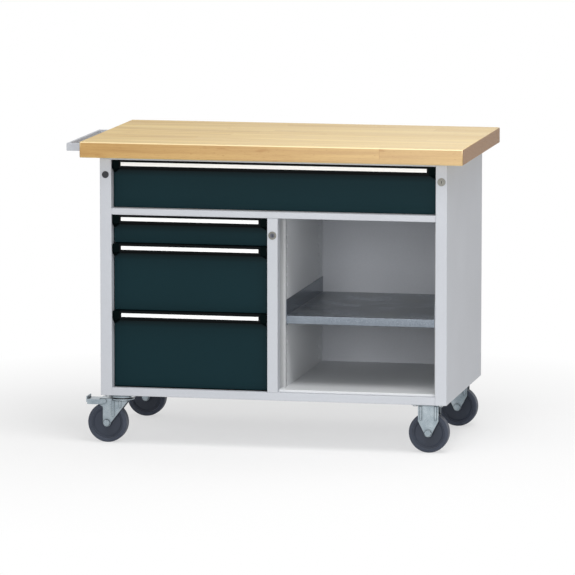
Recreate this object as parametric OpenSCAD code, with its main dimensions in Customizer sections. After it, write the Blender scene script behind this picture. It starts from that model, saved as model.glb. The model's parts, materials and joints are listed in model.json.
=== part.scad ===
// Mobile workbench: a sheet-steel cabinet on casters with four drawers, an open
// compartment with a shelf, a beech worktop and a push handle.
// Millimetres. X runs to the right, the front faces -Y, Z is up from the floor.

/* [Worktop] */
// Width of the worktop
top_w = 1200; // [1100:10:1600]
// Thickness of the worktop
top_t = 50; // [30:1:60]
// Rounding of the worktop's edges
top_round = 5; // [1:0.5:6]
// How far the worktop stands out over the cabinet's front
front_overhang = 40; // [10:1:50]
// How far the worktop stands out behind the cabinet
rear_overhang = 10; // [0:1:200]

/* [Cabinet] */
// Width of the cabinet
cab_w = 1090; // [1000:10:1100]
// Depth of the cabinet
cab_d = 650; // [620:10:660]
// Thickness of the cabinet's sheet steel
sheet_t = 1.5; // [1:0.1:2]
// Width of the left and right posts
post_w = 36; // [34:1:50]
// Width of the centre post
centre_post_w = 33; // [32:1:50]
// Depth of the posts' inner returns
post_depth = 37; // [34:1:42]
// Height of the bottom rail
bottom_rail_h = 25; // [15:1:40]
// Height of the rail between the top drawer and the bays below it
middle_rail_h = 20; // [12:1:40]
// Height of the rail under the worktop
top_rail_h = 8; // [5:1:20]
// Width of the folded flanges that join the sheets
flange_w = 22; // [15:1:24]

/* [Compartment] */
// How far the compartment's side walls stand in from the posts
wall_inset = 12.5; // [5:0.5:15]
// Distance from the cabinet's front to the front folds of those walls
wall_setback = 64; // [45:1:100]
// Height of the raised floor above the bottom rail
floor_rise = 6.5; // [3:0.5:12]
// Height of the shelf's surface above the compartment's floor
shelf_level = 224.5; // [120:0.5:400]
// How far the shelf's front edge lies behind the walls' front folds
shelf_setback = 2; // [1:1:40]
// Height of the shelf's folded front edge
shelf_fold = 25; // [15:1:40]
// Height of the shelf's side upstands
shelf_upstand = 50; // [20:1:80]
// Spacing of the shelf slots
slot_pitch = 30; // [25:1:50]
// Width of a shelf slot
slot_w = 10; // [8:1:14]
// Height of a shelf slot
slot_h = 12; // [9:1:14]
// Distance from the shelf's front edge to the front row of slots
slot_setback = 16; // [15:1:60]
// Distance from the back panel to the rear row of slots
slot_rear = 57; // [30:1:120]

/* [Drawers] */
// Height of the full-width top drawer's front
top_front_h = 150; // [110:5:200]
// Height of the small drawer's front
small_front_h = 90; // [85:5:200]
// Height of the medium drawer's front
medium_front_h = 210; // [100:5:240]
// Height of the large drawer's front
large_front_h = 240; // [150:5:300]
// Gap between one front and the next
front_gap = 1.5; // [1:0.1:3]
// Gap between a front and the post beside it
side_gap = 2; // [1.5:0.5:6]
// How far a front panel lies behind the cabinet's front
front_setback = 30; // [26:1:36]
// Thickness of a folded front panel
front_t = 14; // [10:1:16]
// Thickness of a drawer's sheet steel
drawer_sheet = 1.2; // [0.8:0.1:2]
// Clearance behind the telescopic runners
runner_clearance = 6; // [4:1:60]

/* [Grips] */
// Height of the end caps beside a grip rail
cap_h = 40; // [34:1:44]
// Width of an end cap
cap_w = 21; // [14:1:30]
// Height of the grip rail
grip_h = 25; // [20:1:28]
// How far the grip rail lies behind the cabinet's front
grip_setback = 6; // [3:0.5:8]
// Height of the label strip
label_h = 11.5; // [8:0.5:13]
// Distance from a front's end to its label strip
label_inset = 27; // [24:1:60]

/* [Locks] */
// Diameter of a lock's collar
lock_d = 25; // [18:0.5:28]
// Height of the upper locks above the middle rail
upper_lock_rise = 104; // [60:1:130]
// Depth of the centre lock below the middle rail
centre_lock_drop = 53; // [30:1:80]

/* [Push handle] */
// How far the push handle stands out from the worktop
handle_reach = 75; // [50:1:120]
// Length of the push handle
handle_len = 426; // [250:2:600]
// Height of the push handle's flat tube
handle_h = 24; // [18:1:28]
// Thickness of the push handle's flat tube
handle_t = 8; // [6:1:16]
// Wall of the push handle's tube
handle_wall = 2; // [1.5:0.1:3]
// Distance from the worktop's surface to the middle of the tube
handle_drop = 32; // [20:1:34]

/* [Casters] */
// Height of a caster with its plate
caster_h = 155; // [150:1:175]
// Diameter of a wheel
wheel_d = 125; // [100:1:125]
// Width of a wheel's tread
wheel_w = 37; // [30:1:42]
// Distance a swivel caster's wheel trails its swivel axis
trail = 45; // [35:1:50]
// Length of a caster plate
plate_l = 105; // [100:1:120]
// Width of a caster plate
plate_w = 85; // [80:1:100]
// Diameter of a caster's axle
axle_d = 10; // [8:0.5:12]
// Distance from the cabinet's left end to the swivel axes
swivel_inset = 55; // [54:1:80]
// Distance from the cabinet's right end to the fixed wheels' axles
fixed_inset = 63; // [56:1:90]
// Distance from the cabinet's front and back to the wheels' middles
wheel_inset = 60; // [56:1:100]

/* [Hidden] */
DRAWERS = ["top", "small", "medium", "large"];
$fn = 48;

// Colours
beech = "#e0c080";
light_grey = "#c8ccd2";
anthracite = "#1e3036";
black = "#0c0f10";
white = "#f6f6f6";
zinc = "#a8b0b4";
dark_rubber = "#383c46";

// Running clearances
bore_gap = 0.06;
fit_gap = 0.3;
seat_gap = 0.05;
eps = 0.01;

// Main levels, from the floor up. bay_slack is the room that the fronts of a bay have in all.
bay_slack = 1;
base_z = caster_h;
left_bay_z = base_z + bottom_rail_h;
left_bay_h = small_front_h + medium_front_h + large_front_h + bay_slack;
middle_rail_z = left_bay_z + left_bay_h;
top_bay_z = middle_rail_z + middle_rail_h;
top_bay_h = top_front_h + bay_slack;
top_rail_z = top_bay_z + top_bay_h;
cab_top = top_rail_z + top_rail_h;
bench_h = cab_top + top_t;

// Main places across and along. The push handle makes the bench longer at the left,
// so the bench stands half its reach to the right of the origin.
bench_x = handle_reach / 2;
top_d = front_overhang + cab_d + rear_overhang;
front_y = -top_d / 2 + front_overhang;
back_y = front_y + cab_d;
cab_x = cab_w / 2;
post_x = cab_x - post_w;
centre_x = centre_post_w / 2;
inner_back_y = back_y - 2 * sheet_t;
divider_x = centre_x + wall_inset;
liner_x = post_x - wall_inset;
side_in_x = cab_x - sheet_t;
step_y = front_y + post_depth;
wall_y = front_y + wall_setback;
shelf_y = wall_y + shelf_setback;
pan_t = 2;
rail_return = 20;
deck_z = base_z + pan_t;
floor_top = left_bay_z + floor_rise;
floor_front_y = front_y + rail_return;
shelf_t = 1.5;
shelf_z = floor_top + shelf_level;
middle_under = top_bay_z - sheet_t;

// Runners
runner_w = 13;
runner_h = 45;
runner_t = 1.2;
runner_play = 0.6;
runner_setback = 2;
box_y = front_y + front_setback + front_t;
runner_y = box_y + runner_setback;
runner_len = inner_back_y - runner_clearance - runner_y;
box_shorter = 5;
box_len = runner_len - box_shorter;
upright_w = 40;
upright_inset = 6;
upright_ys = [wall_y + 2 * sheet_t, runner_y + runner_len - upright_w - upright_inset];

// ---------------------------------------------------------------- helpers

// Everything is drawn about the worktop's middle, then set in place.
module on_bench() translate([bench_x, 0, 0]) children();

module box_from(low, high) translate(low) cube(high - low);

module pair_x() {
    children();
    mirror([1, 0, 0]) children();
}

// A rectangle with round corners, about its middle
module round_rect(w, h, r) {
    square([w - 2 * r, h], center = true);
    square([w, h - 2 * r], center = true);
    for (x = [-1, 1], y = [-1, 1])
        translate([x * (w / 2 - r), y * (h / 2 - r)]) circle(r);
}

// A block with its edges rounded, about its middle
module eased_block(size, r) {
    intersection() {
        linear_extrude(size[2], center = true) round_rect(size[0], size[1], r);
        rotate([90, 0, 0]) linear_extrude(size[1], center = true) round_rect(size[0], size[2], r);
        rotate([90, 0, 90]) linear_extrude(size[0], center = true) round_rect(size[1], size[2], r);
    }
}

// A cylinder along Y that starts at y = 0 and runs to the back
module rod_y(r, h) rotate([-90, 0, 0]) cylinder(r = r, h = h);

// An outline drawn in X and Z, h thick along Y from y = 0 to the back
module plate_y(h) translate([0, h, 0]) rotate([90, 0, 0]) linear_extrude(h) children();

// A hexagon along Z, given its width across flats
module hexagon(across, h) cylinder(d = across / cos(30), h = h, $fn = 6);

// ---------------------------------------------------------------- worktop and its screws

screw_r = 2.5;
screw_hole_r = screw_r + 0.25;
screw_grip = 32;
screw_head_r = 5;
screw_head_h = 3.5;
screw_edge = 20;
screw_x = post_x - 110;
screw_places = concat(
    [for (x = [-screw_x, 0, screw_x], y = [front_y + screw_edge, inner_back_y - screw_edge]) [x, y]],
    [for (s = [-1, 1]) [s * (side_in_x - flange_w / 2), front_y + cab_d / 2]]
);

// The handle's two feet, each with a screw at either side of its tube
handle_z = bench_h - handle_drop;
handle_y = handle_len / 2 - handle_t / 2;
foot_t = 4;
foot_h = handle_h + 4;
foot_w = handle_t + 36;
foot_round = 6;
foot_screw_y = handle_t / 2 + 9;
foot_screws = [for (s = [-1, 1], t = [-1, 1]) [s * handle_y + t * foot_screw_y, handle_z]];

module screw() {
    translate([0, 0, -screw_head_h]) cylinder(r = screw_head_r, h = screw_head_h);
    cylinder(r = screw_r, h = screw_grip);
}

module at_worktop_screws()
    for (p = screw_places) translate([p[0], p[1], cab_top - sheet_t]) children();

module at_foot_screws()
    for (p = foot_screws) translate([-top_w / 2 - foot_t, p[0], p[1]]) rotate([0, 90, 0]) children();

module worktop() {
    color(beech) on_bench() difference() {
        translate([0, 0, bench_h - top_t / 2]) eased_block([top_w, top_d, top_t], top_round);
        at_worktop_screws() cylinder(r = screw_r + bore_gap, h = screw_grip + fit_gap);
        at_foot_screws() cylinder(r = screw_r + bore_gap, h = screw_grip + fit_gap);
    }
}

module worktop_screws() {
    color(zinc) on_bench() {
        at_worktop_screws() screw();
        at_foot_screws() screw();
    }
}

// ---------------------------------------------------------------- push handle

// The handle's outline seen from above, drawn in by an inset from the tube's outer faces
module handle_outline(inset) {
    bar_x = -top_w / 2 - handle_reach;
    end_x = -top_w / 2 - foot_t;
    inner = handle_t - inset;
    difference() {
        translate([bar_x + inset, inset - handle_len / 2])
            square([end_x - bar_x - inset, handle_len - 2 * inset]);
        translate([bar_x + inner, inner - handle_len / 2])
            square([end_x - bar_x, handle_len - 2 * inner]);
    }
}

module push_handle() {
    color(light_grey) on_bench() translate([0, 0, handle_z]) {
        difference() {
            linear_extrude(handle_h, center = true) handle_outline(0);
            linear_extrude(handle_h - 2 * handle_wall, center = true) handle_outline(handle_wall);
        }
        for (s = [-1, 1]) translate([-top_w / 2 - foot_t, s * handle_y, 0]) handle_foot();
    }
}

module handle_foot() rotate([0, 90, 0]) difference() {
    linear_extrude(foot_t) round_rect(foot_h, foot_w, foot_round);
    for (s = [-1, 1]) translate([0, s * foot_screw_y, -1]) cylinder(r = screw_hole_r, h = foot_t + 2);
}

// ---------------------------------------------------------------- cabinet shell

lock_barrel_r = 10;
upper_lock_x = cab_x - post_w / 2;
upper_lock_z = top_bay_z + upper_lock_rise;
centre_lock_z = middle_rail_z - centre_lock_drop;

module lock_hole(x, z) translate([x, front_y - 1, z]) rod_y(lock_barrel_r + 0.1, sheet_t + 2);

// One folded sheet: outer wall, front post with its inner return, top and rear flanges
module side_wall() difference() {
    union() {
        box_from([side_in_x, front_y, base_z], [cab_x, back_y, cab_top]);
        box_from([post_x, front_y, base_z], [cab_x, front_y + sheet_t, cab_top]);
        box_from([post_x, front_y, deck_z], [post_x + sheet_t, step_y, cab_top]);
        box_from([cab_x - flange_w, front_y, cab_top - sheet_t], [cab_x, back_y, cab_top]);
        box_from([cab_x - flange_w, back_y - sheet_t, base_z], [cab_x, back_y, cab_top]);
    }
    lock_hole(upper_lock_x, upper_lock_z);
    flange_holes();
}

module flange_holes()
    at_worktop_screws() translate([0, 0, -1]) cylinder(r = screw_hole_r, h = sheet_t + 2);

module left_side_wall() color(light_grey) on_bench() mirror([1, 0, 0]) side_wall();

module right_side_wall() color(light_grey) on_bench() side_wall();

module back_panel() color(light_grey) on_bench()
    box_from([-side_in_x, inner_back_y, deck_z], [side_in_x, back_y - sheet_t, cab_top - sheet_t]);

module base_pan() {
    color(light_grey) on_bench() difference() {
        union() {
            box_from([-side_in_x, front_y + sheet_t, base_z], [side_in_x, back_y - sheet_t, deck_z]);
            box_from([-post_x, front_y, base_z], [post_x, front_y + sheet_t, left_bay_z]);
            box_from([-post_x, front_y, left_bay_z - sheet_t], [post_x, front_y + rail_return, left_bay_z]);
        }
        at_casters() at_plate_holes() cylinder(r = caster_hole_r, h = 2 * pan_t + 1, center = true);
    }
}

module middle_panel() {
    color(light_grey) on_bench() {
        box_from([-side_in_x, step_y + sheet_t, middle_under], [side_in_x, inner_back_y, top_bay_z]);
        box_from([-post_x, front_y, middle_under], [post_x, step_y + sheet_t, top_bay_z]);
        box_from([-post_x, front_y, middle_rail_z], [post_x, front_y + sheet_t, top_bay_z]);
        box_from(
            [-post_x, front_y, middle_rail_z], [post_x, front_y + rail_return, middle_rail_z + sheet_t]
        );
    }
}

module centre_post() {
    color(light_grey) on_bench() difference() {
        box_from([-centre_x, front_y, left_bay_z], [centre_x, step_y, middle_rail_z]);
        box_from(
            [-centre_x + sheet_t, front_y + sheet_t, base_z], [centre_x - sheet_t, step_y + 1, cab_top]
        );
        lock_hole(0, centre_lock_z);
    }
}

top_flange = 40;

module top_rails() {
    rear_x = cab_x - flange_w;
    color(light_grey) on_bench() difference() {
        union() {
            box_from([-post_x, front_y, top_rail_z], [post_x, front_y + sheet_t, cab_top]);
            box_from([-post_x, front_y, cab_top - sheet_t], [post_x, front_y + top_flange, cab_top]);
            box_from(
                [-rear_x, inner_back_y - top_flange, cab_top - sheet_t], [rear_x, inner_back_y, cab_top]
            );
            box_from(
                [-rear_x, inner_back_y - sheet_t, cab_top - top_flange], [rear_x, inner_back_y, cab_top]
            );
        }
        flange_holes();
    }
}

// A channel that carries runners: its web's outer face is at x = 0, its flanges reach to x = w
module upright(w, low_z, high_z) {
    box_from([0, 0, low_z], [sheet_t, upright_w, high_z]);
    box_from([0, 0, low_z], [w, sheet_t, high_z]);
    box_from([0, upright_w - sheet_t, low_z], [w, upright_w, high_z]);
}

module runner_uprights() {
    side_w = side_in_x - post_x;
    centre_w = centre_x + divider_x - sheet_t;
    color(light_grey) on_bench() for (y = upright_ys) {
        pair_x() translate([post_x, y, 0]) upright(side_w, top_bay_z, top_rail_z);
        translate([-post_x, y, 0]) mirror([1, 0, 0]) upright(side_w, left_bay_z, middle_under);
        translate([-centre_x, y, 0]) upright(centre_w, left_bay_z, middle_under);
    }
}

// ---------------------------------------------------------------- compartment

slot_first = 20;
slot_count = floor((middle_under - floor_top - 2 * slot_first) / slot_pitch) + 1;
slot_zs = [for (i = [0 : slot_count - 1]) floor_top + slot_first + i * slot_pitch];
slot_ys = [shelf_y + slot_setback, inner_back_y - slot_rear];

// A wall of the compartment: its face is at x = 0 and looks along +X. Its front is folded
// outwards and then forwards, in line with the post's inner return.
module slotted_wall() difference() {
    fold_x = -wall_inset - sheet_t;
    union() {
        box_from([fold_x, step_y, deck_z], [-wall_inset, wall_y, middle_under]);
        box_from([fold_x, wall_y, deck_z], [0, wall_y + sheet_t, middle_under]);
        box_from([-sheet_t, wall_y, deck_z], [0, inner_back_y, middle_under]);
        box_from([-flange_w, inner_back_y - sheet_t, deck_z], [0, inner_back_y, middle_under]);
    }
    for (y = slot_ys, z = slot_zs)
        translate([0, y, z]) cube([4 * sheet_t, slot_w, slot_h], center = true);
}

module divider_wall() color(light_grey) on_bench() translate([divider_x, 0, 0]) slotted_wall();

module right_inner_wall()
    color(light_grey) on_bench() translate([liner_x, 0, 0]) mirror([1, 0, 0]) slotted_wall();

module compartment_floor() {
    color(light_grey) on_bench() {
        box_from([divider_x, wall_y, floor_top - sheet_t], [liner_x, inner_back_y, floor_top]);
        box_from([centre_x, floor_front_y, floor_top - sheet_t], [post_x, wall_y, floor_top]);
        box_from([centre_x, floor_front_y, deck_z], [post_x, floor_front_y + sheet_t, floor_top]);
    }
}

shelf_gap = 0.5;
shelf_under = shelf_z - shelf_t;
shelf_lip = 8;

module shelf() {
    x0 = divider_x + shelf_gap;
    x1 = liner_x - shelf_gap;
    y0 = shelf_y;
    y1 = inner_back_y - shelf_gap;
    fold_z = shelf_z - shelf_fold;
    color(zinc) on_bench() {
        box_from([x0, y0, shelf_under], [x1, y1, shelf_z]);
        box_from([x0, y0, fold_z], [x1, y0 + shelf_t, shelf_z]);
        box_from([x0, y0, fold_z], [x1, y0 + shelf_lip, fold_z + shelf_t]);
        box_from([x0, y1 - shelf_t, fold_z], [x1, y1, shelf_z]);
        box_from([x0, y0, shelf_under], [x0 + shelf_t, y1, shelf_z + shelf_upstand]);
        box_from([x1 - shelf_t, y0, shelf_under], [x1, y1, shelf_z + shelf_upstand]);
    }
}

clip_w = 12;
clip_t = 2;
clip_ledge = 16;

// The slot that a clip hangs in is the highest one below the shelf
clip_slot = floor((shelf_under - slot_h - slot_zs[0]) / slot_pitch);
clip_z = slot_zs[0] + clip_slot * slot_pitch - slot_h / 2;

module shelf_clip() {
    hook_w = slot_w - 2 * fit_gap;
    back = -sheet_t - clip_t;
    box_from([0, -clip_w / 2, shelf_under - clip_t], [clip_ledge, clip_w / 2, shelf_under]);
    box_from([0, -clip_w / 2, clip_z], [clip_t, clip_w / 2, shelf_under]);
    box_from([back, -hook_w / 2, clip_z], [clip_t, hook_w / 2, clip_z + slot_h / 2]);
    box_from([back, -hook_w / 2, clip_z - slot_h / 2], [-sheet_t, hook_w / 2, clip_z + slot_h / 2]);
}

module shelf_clips() {
    color(zinc) on_bench() for (y = slot_ys) {
        translate([divider_x, y, 0]) shelf_clip();
        translate([liner_x, y, 0]) mirror([1, 0, 0]) shelf_clip();
    }
}

// ---------------------------------------------------------------- drawers

// Each bay's [left x, right x, lowest z, height of front] for a drawer
function bay(d) =
    d == "top" ? [-post_x, post_x, top_bay_z + bay_slack / 2, top_front_h]
    : d == "small" ? [-post_x, -centre_x, medium_low_z + medium_front_h, small_front_h]
    : d == "medium" ? [-post_x, -centre_x, medium_low_z, medium_front_h]
    : [-post_x, -centre_x, large_low_z, large_front_h];

large_low_z = left_bay_z + bay_slack / 2;
medium_low_z = large_low_z + large_front_h;

function front_x0(d) = bay(d)[0] + side_gap;
function front_x1(d) = bay(d)[1] - side_gap;
function front_low(d) = bay(d)[2] + front_gap / 2;
function front_high(d) = bay(d)[2] + bay(d)[3] - front_gap / 2;

box_rise = 10;
box_drop = 20;
runner_rise = 30;
pan_lip = 16;
panel_y = front_y + front_setback;

function box_low(d) = bay(d)[2] + box_rise;
function box_high(d) = bay(d)[2] + bay(d)[3] - box_drop;
function runner_z(d) = box_low(d) + runner_rise;

// Five sheets that are welded at their seams: two sides, a bottom, a front and a back
module drawer_box(d) {
    low = [bay(d)[0] + runner_w, box_y, box_low(d)];
    high = [bay(d)[1] - runner_w, box_y + box_len, box_high(d)];
    in_low = low + [drawer_sheet + seat_gap, 0, drawer_sheet + seat_gap];
    in_high = high - [drawer_sheet + seat_gap, 0, 0];
    color(anthracite) on_bench() {
        box_from(low, [low[0] + drawer_sheet, high[1], high[2]]);
        box_from([high[0] - drawer_sheet, low[1], low[2]], high);
        box_from([in_low[0], low[1], low[2]], [in_high[0], high[1], low[2] + drawer_sheet]);
        box_from(in_low, [in_high[0], low[1] + drawer_sheet, high[2]]);
        box_from([in_low[0], high[1] - drawer_sheet, in_low[2]], in_high);
    }
}

// A folded pan, with lips at its back that lie on the drawer box
module drawer_front(d) {
    low = [front_x0(d), panel_y, front_low(d)];
    high = [front_x1(d), box_y, front_high(d)];
    wall = [drawer_sheet, drawer_sheet, drawer_sheet];
    lip = [pan_lip, 0, pan_lip];
    color(anthracite) on_bench() difference() {
        box_from(low, high);
        box_from(low + wall, high - wall);
        box_from(low + wall + lip, high - lip - [0, -1, 0]);
    }
}

// Grip rail, drawn by its distance behind the rail's front and its height below the front's top
grip_y = front_y + grip_setback;
grip_depth = front_setback - grip_setback;
grip_t = 2;
grip_face_t = 3.2;
grip_lip = 6;
grip_foot = 32;
channel_t = 1.2;
channel_h = label_h + 0.5;
channel_top = (grip_h - channel_h) / 2;

module grip_section() polygon([
    [0, 0], [grip_depth, 0], [grip_depth, -grip_foot], [grip_depth - grip_t, -grip_foot],
    [grip_depth - grip_t, -grip_t], [grip_face_t, -grip_t], [grip_face_t, grip_t - grip_h],
    [grip_lip, grip_t - grip_h], [grip_lip, -grip_h], [0, -grip_h],
    [0, -channel_top - channel_h], [channel_t, -channel_top - channel_h],
    [channel_t, -channel_top], [0, -channel_top]
]);

module grip_rail(d) {
    x0 = front_x0(d) + cap_w;
    len = front_x1(d) - front_x0(d) - 2 * cap_w;
    color(black) on_bench() translate([x0, grip_y, front_high(d)])
        rotate([90, 0, 90]) linear_extrude(len) grip_section();
}

module label_strip(d) {
    strip_t = channel_t - 0.2;
    top_z = front_high(d) - grip_h / 2 + label_h / 2;
    low = [front_x0(d) + label_inset, grip_y + channel_t - strip_t, top_z - label_h];
    high = [front_x1(d) - label_inset, grip_y + channel_t, top_z];
    color(white) on_bench() box_from(low, high);
}

// An end cap: its lower corner slants in the front view, and its underside slopes to the panel
cap_foot = 7;
cap_step = 1;
cap_toe = 4;

module end_cap() intersection() {
    plate_y(grip_depth) polygon([
        [0, 0], [cap_w, 0], [cap_w, -grip_h - cap_step], [cap_foot, -cap_h], [0, -cap_h]
    ]);
    rotate([90, 0, 90]) linear_extrude(cap_w) polygon([
        [0, 0], [grip_depth, 0], [grip_depth, -cap_h], [grip_depth - cap_toe, -cap_h], [0, -grip_h - cap_step]
    ]);
}

module end_caps(d) {
    color(black) on_bench() {
        translate([front_x0(d), grip_y, front_high(d)]) end_cap();
        translate([front_x1(d), grip_y, front_high(d)]) mirror([1, 0, 0]) end_cap();
    }
}

// ---------------------------------------------------------------- runners

// A C-shaped runner member: web from web_x, flanges from x0 to x1, half_h up and down
module member(web_x, x0, x1, half_h) plate_y(runner_len) {
    translate([web_x, -half_h]) square([runner_t, 2 * half_h]);
    for (z = [-half_h, half_h - runner_t]) translate([x0, z]) square([x1 - x0, runner_t]);
}

outer_open = 2.5;
inner_shorter = 4;

middle_half_h = runner_h / 2 - runner_t - runner_play;
inner_half_h = middle_half_h - runner_t - runner_play;
middle_web_x = runner_t + runner_play;
inner_web_x = runner_w - runner_t;

module outer_member() member(0, 0, runner_w - outer_open, runner_h / 2);
module middle_member() member(middle_web_x, middle_web_x, inner_web_x - runner_play, middle_half_h);
module inner_member() member(inner_web_x, middle_web_x + runner_t + runner_play, runner_w, inner_half_h);

// Places a left-hand runner part and its mirror image at the two sides of a drawer
module at_runners(d) {
    translate([bay(d)[0], runner_y, runner_z(d)]) children();
    translate([bay(d)[1], runner_y, runner_z(d)]) mirror([1, 0, 0]) children();
}

module outer_runners() color(zinc) on_bench() for (d = DRAWERS) at_runners(d) outer_member();
module middle_runners(d) color(zinc) on_bench() at_runners(d) middle_member();
module inner_runners(d) color(zinc) on_bench() at_runners(d) intersection() {
    inner_member();
    translate([0, 0, -runner_h]) cube([2 * runner_w, box_len - inner_shorter, 2 * runner_h]);
}

// ---------------------------------------------------------------- locks

collar_t = 2;
barrel_len = 24;
plug_r = 7;
cam_len = 13;
cam_w = 9;
cam_t = 3;
nut_t = 4;
nut_across = 2 * lock_barrel_r + 5;
plug_proud = 1;
key_w = 2;
key_h = 8;
key_deep = 8;
blank_t = 1.5;
blank_r = lock_barrel_r + 0.75;
blank_len = 12;

module lock_housing() {
    difference() {
        union() {
            translate([0, -collar_t, 0]) rod_y(lock_d / 2, collar_t);
            rod_y(lock_barrel_r, barrel_len);
        }
        translate([0, -collar_t - 1, 0]) rod_y(plug_r + bore_gap, barrel_len + collar_t + 2);
    }
    translate([0, sheet_t, 0]) rotate([-90, 0, 0]) difference() {
        hexagon(nut_across, nut_t);
        translate([0, 0, -1]) cylinder(r = lock_barrel_r + bore_gap, h = nut_t + 2);
    }
}

module lock_housings() {
    color(zinc) on_bench() {
        translate([upper_lock_x, front_y, upper_lock_z]) lock_housing();
        translate([0, front_y, centre_lock_z]) lock_housing();
    }
}

// The plug turns in its housing and carries a cam at its back
module lock_plug() {
    face = collar_t + plug_proud;
    back = barrel_len + plug_proud;
    color(zinc) difference() {
        union() {
            translate([0, -face, 0]) rod_y(plug_r, face + back);
            translate([-cam_w / 2, back, -cam_len]) cube([cam_w, cam_t, cam_len + cam_w / 2]);
        }
        translate([-key_w / 2, -face - 1, -key_h / 2]) cube([key_w, key_deep + 1, key_h]);
    }
}

module right_lock_plug() on_bench() translate([upper_lock_x, front_y, upper_lock_z]) lock_plug();

module centre_lock_plug() on_bench() translate([0, front_y, centre_lock_z]) lock_plug();

module blanking_plug() {
    color(black) on_bench() translate([-upper_lock_x, front_y, upper_lock_z]) {
        translate([0, -blank_t, 0]) rod_y(blank_r, blank_t);
        rod_y(lock_barrel_r, blank_len);
    }
}

// ---------------------------------------------------------------- casters

plate_t = 3.5;
plate_round = 8;
plate_edge_x = 12.5;
plate_edge_y = 15;
caster_hole_r = 4.25;
caster_bolt_r = 4;
bolt_across = 13;
bolt_head_h = 5.3;
bolt_nut_h = 6.5;
bolt_end = 9;
wheel_r = wheel_d / 2;
axle_r = axle_d / 2;
swivel_x = -(cab_x - swivel_inset);
fixed_x = cab_x - fixed_inset;
wheel_ys = [front_y + wheel_inset, back_y - wheel_inset];
hole_dx = plate_l / 2 - plate_edge_x;
hole_dy = plate_w / 2 - plate_edge_y;
head_race_r = 38;
head_h = 8;
fork_t = 3;
wheel_room = 3;
race_gap = 4;
fork_in = wheel_w / 2 + wheel_room;
fork_out = fork_in + fork_t;
plate_under = base_z - plate_t;
race_under = plate_under - head_h;
fork_top = race_under - race_gap;
fork_under = fork_top - plate_t;
kingpin_r = 6;
kingpin_nut_r = 11;
kingpin_nut_h = 5;
leg_r = 12.5;
pin_gap = 0.1;

module at_casters()
    for (x = [swivel_x, fixed_x], y = wheel_ys) translate([x, y, base_z]) children();

module at_plate_holes()
    for (x = [-hole_dx, hole_dx], y = [-hole_dy, hole_dy]) translate([x, y, 0]) children();

// A caster's top plate, hanging down from z = 0
module top_plate() difference() {
    translate([0, 0, -plate_t]) linear_extrude(plate_t) round_rect(plate_l, plate_w, plate_round);
    at_plate_holes() cylinder(r = caster_hole_r, h = 2 * plate_t + 1, center = true);
}

module swivel_plate() {
    translate([0, 0, base_z]) top_plate();
    translate([0, 0, race_under]) cylinder(r = head_race_r, h = head_h);
    translate([0, 0, fork_under - fit_gap - kingpin_nut_h]) cylinder(r = kingpin_nut_r, h = kingpin_nut_h);
    translate([0, 0, fork_under - fit_gap - eps]) cylinder(r = kingpin_r, h = race_under - fork_under + 1);
}

module swivel_plates()
    color(zinc) on_bench() for (y = wheel_ys) translate([swivel_x, y, 0]) swivel_plate();

module caster_bolt() {
    difference() {
        translate([0, 0, pan_t]) hexagon(bolt_across, bolt_nut_h);
        cylinder(r = caster_bolt_r + bore_gap, h = pan_t + bolt_end);
    }
    translate([0, 0, -plate_t - bolt_head_h]) hexagon(bolt_across, bolt_head_h);
    translate([0, 0, -plate_t - eps]) cylinder(r = caster_bolt_r, h = plate_t + pan_t + bolt_end);
}

module caster_bolts() color(zinc) on_bench() at_casters() at_plate_holes() caster_bolt();

// The axle runs along Y through both cheeks, with a head and a nut outside them
axle_head_h = 5;
axle_across = axle_d + 8;

module axle() {
    head_y = fork_out + seat_gap;
    translate([0, -head_y - axle_head_h, 0]) rod_y(axle_r, 2 * (head_y + axle_head_h));
    for (s = [0, 1]) mirror([0, s, 0]) translate([0, head_y, 0]) rotate([-90, 0, 0])
        hexagon(axle_across, axle_head_h);
}

// Both cheeks of a fork, from an outline in X and Z about the axle, with their bores
module cheeks(holes) {
    for (y = [-fork_out, fork_in]) translate([0, y, 0]) difference() {
        plate_y(fork_t) children();
        for (h = holes) translate([h[0], -1, h[1]]) rod_y(h[2], fork_t + 2);
    }
}

// Pressed ribs on the outside of the cheeks, each [x, lowest z, highest z]
rib_w = 7;
rib_t = 3;

module ribs(list) {
    for (r = list, s = [0, 1]) mirror([0, s, 0])
        box_from([r[0] - rib_w / 2, fork_out - eps, r[1]], [r[0] + rib_w / 2, fork_out + rib_t, r[2]]);
}

// The brake pedal turns on a pin above and before the axle; its places are about the axle
pedal_x = -8;
pedal_z = fork_under - 5 - wheel_r;
pedal_pin_r = 3;
pedal_eye_r = 7;
pedal_in = fork_out + 0.5;
pedal_out = pedal_in + 2;
pedal_neck_x = -24;
pedal_tip_x = -62;
pedal_top = pedal_z + 5;
pedal_skirt = 16;
tread_t = 2;
tip_t = 3;
tip_up = 9;
tip_down = 10;
shoe_x = -30;
shoe_half = 12;
shoe_under = 11;

fork_nose = 9.5;
nose_h = 21;
nose_slant = 6;
fork_tail = 21;
fork_edge = 8;
fork_rib_xs = [8, 30];
rib_end = 5;
race_step = 3;

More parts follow.
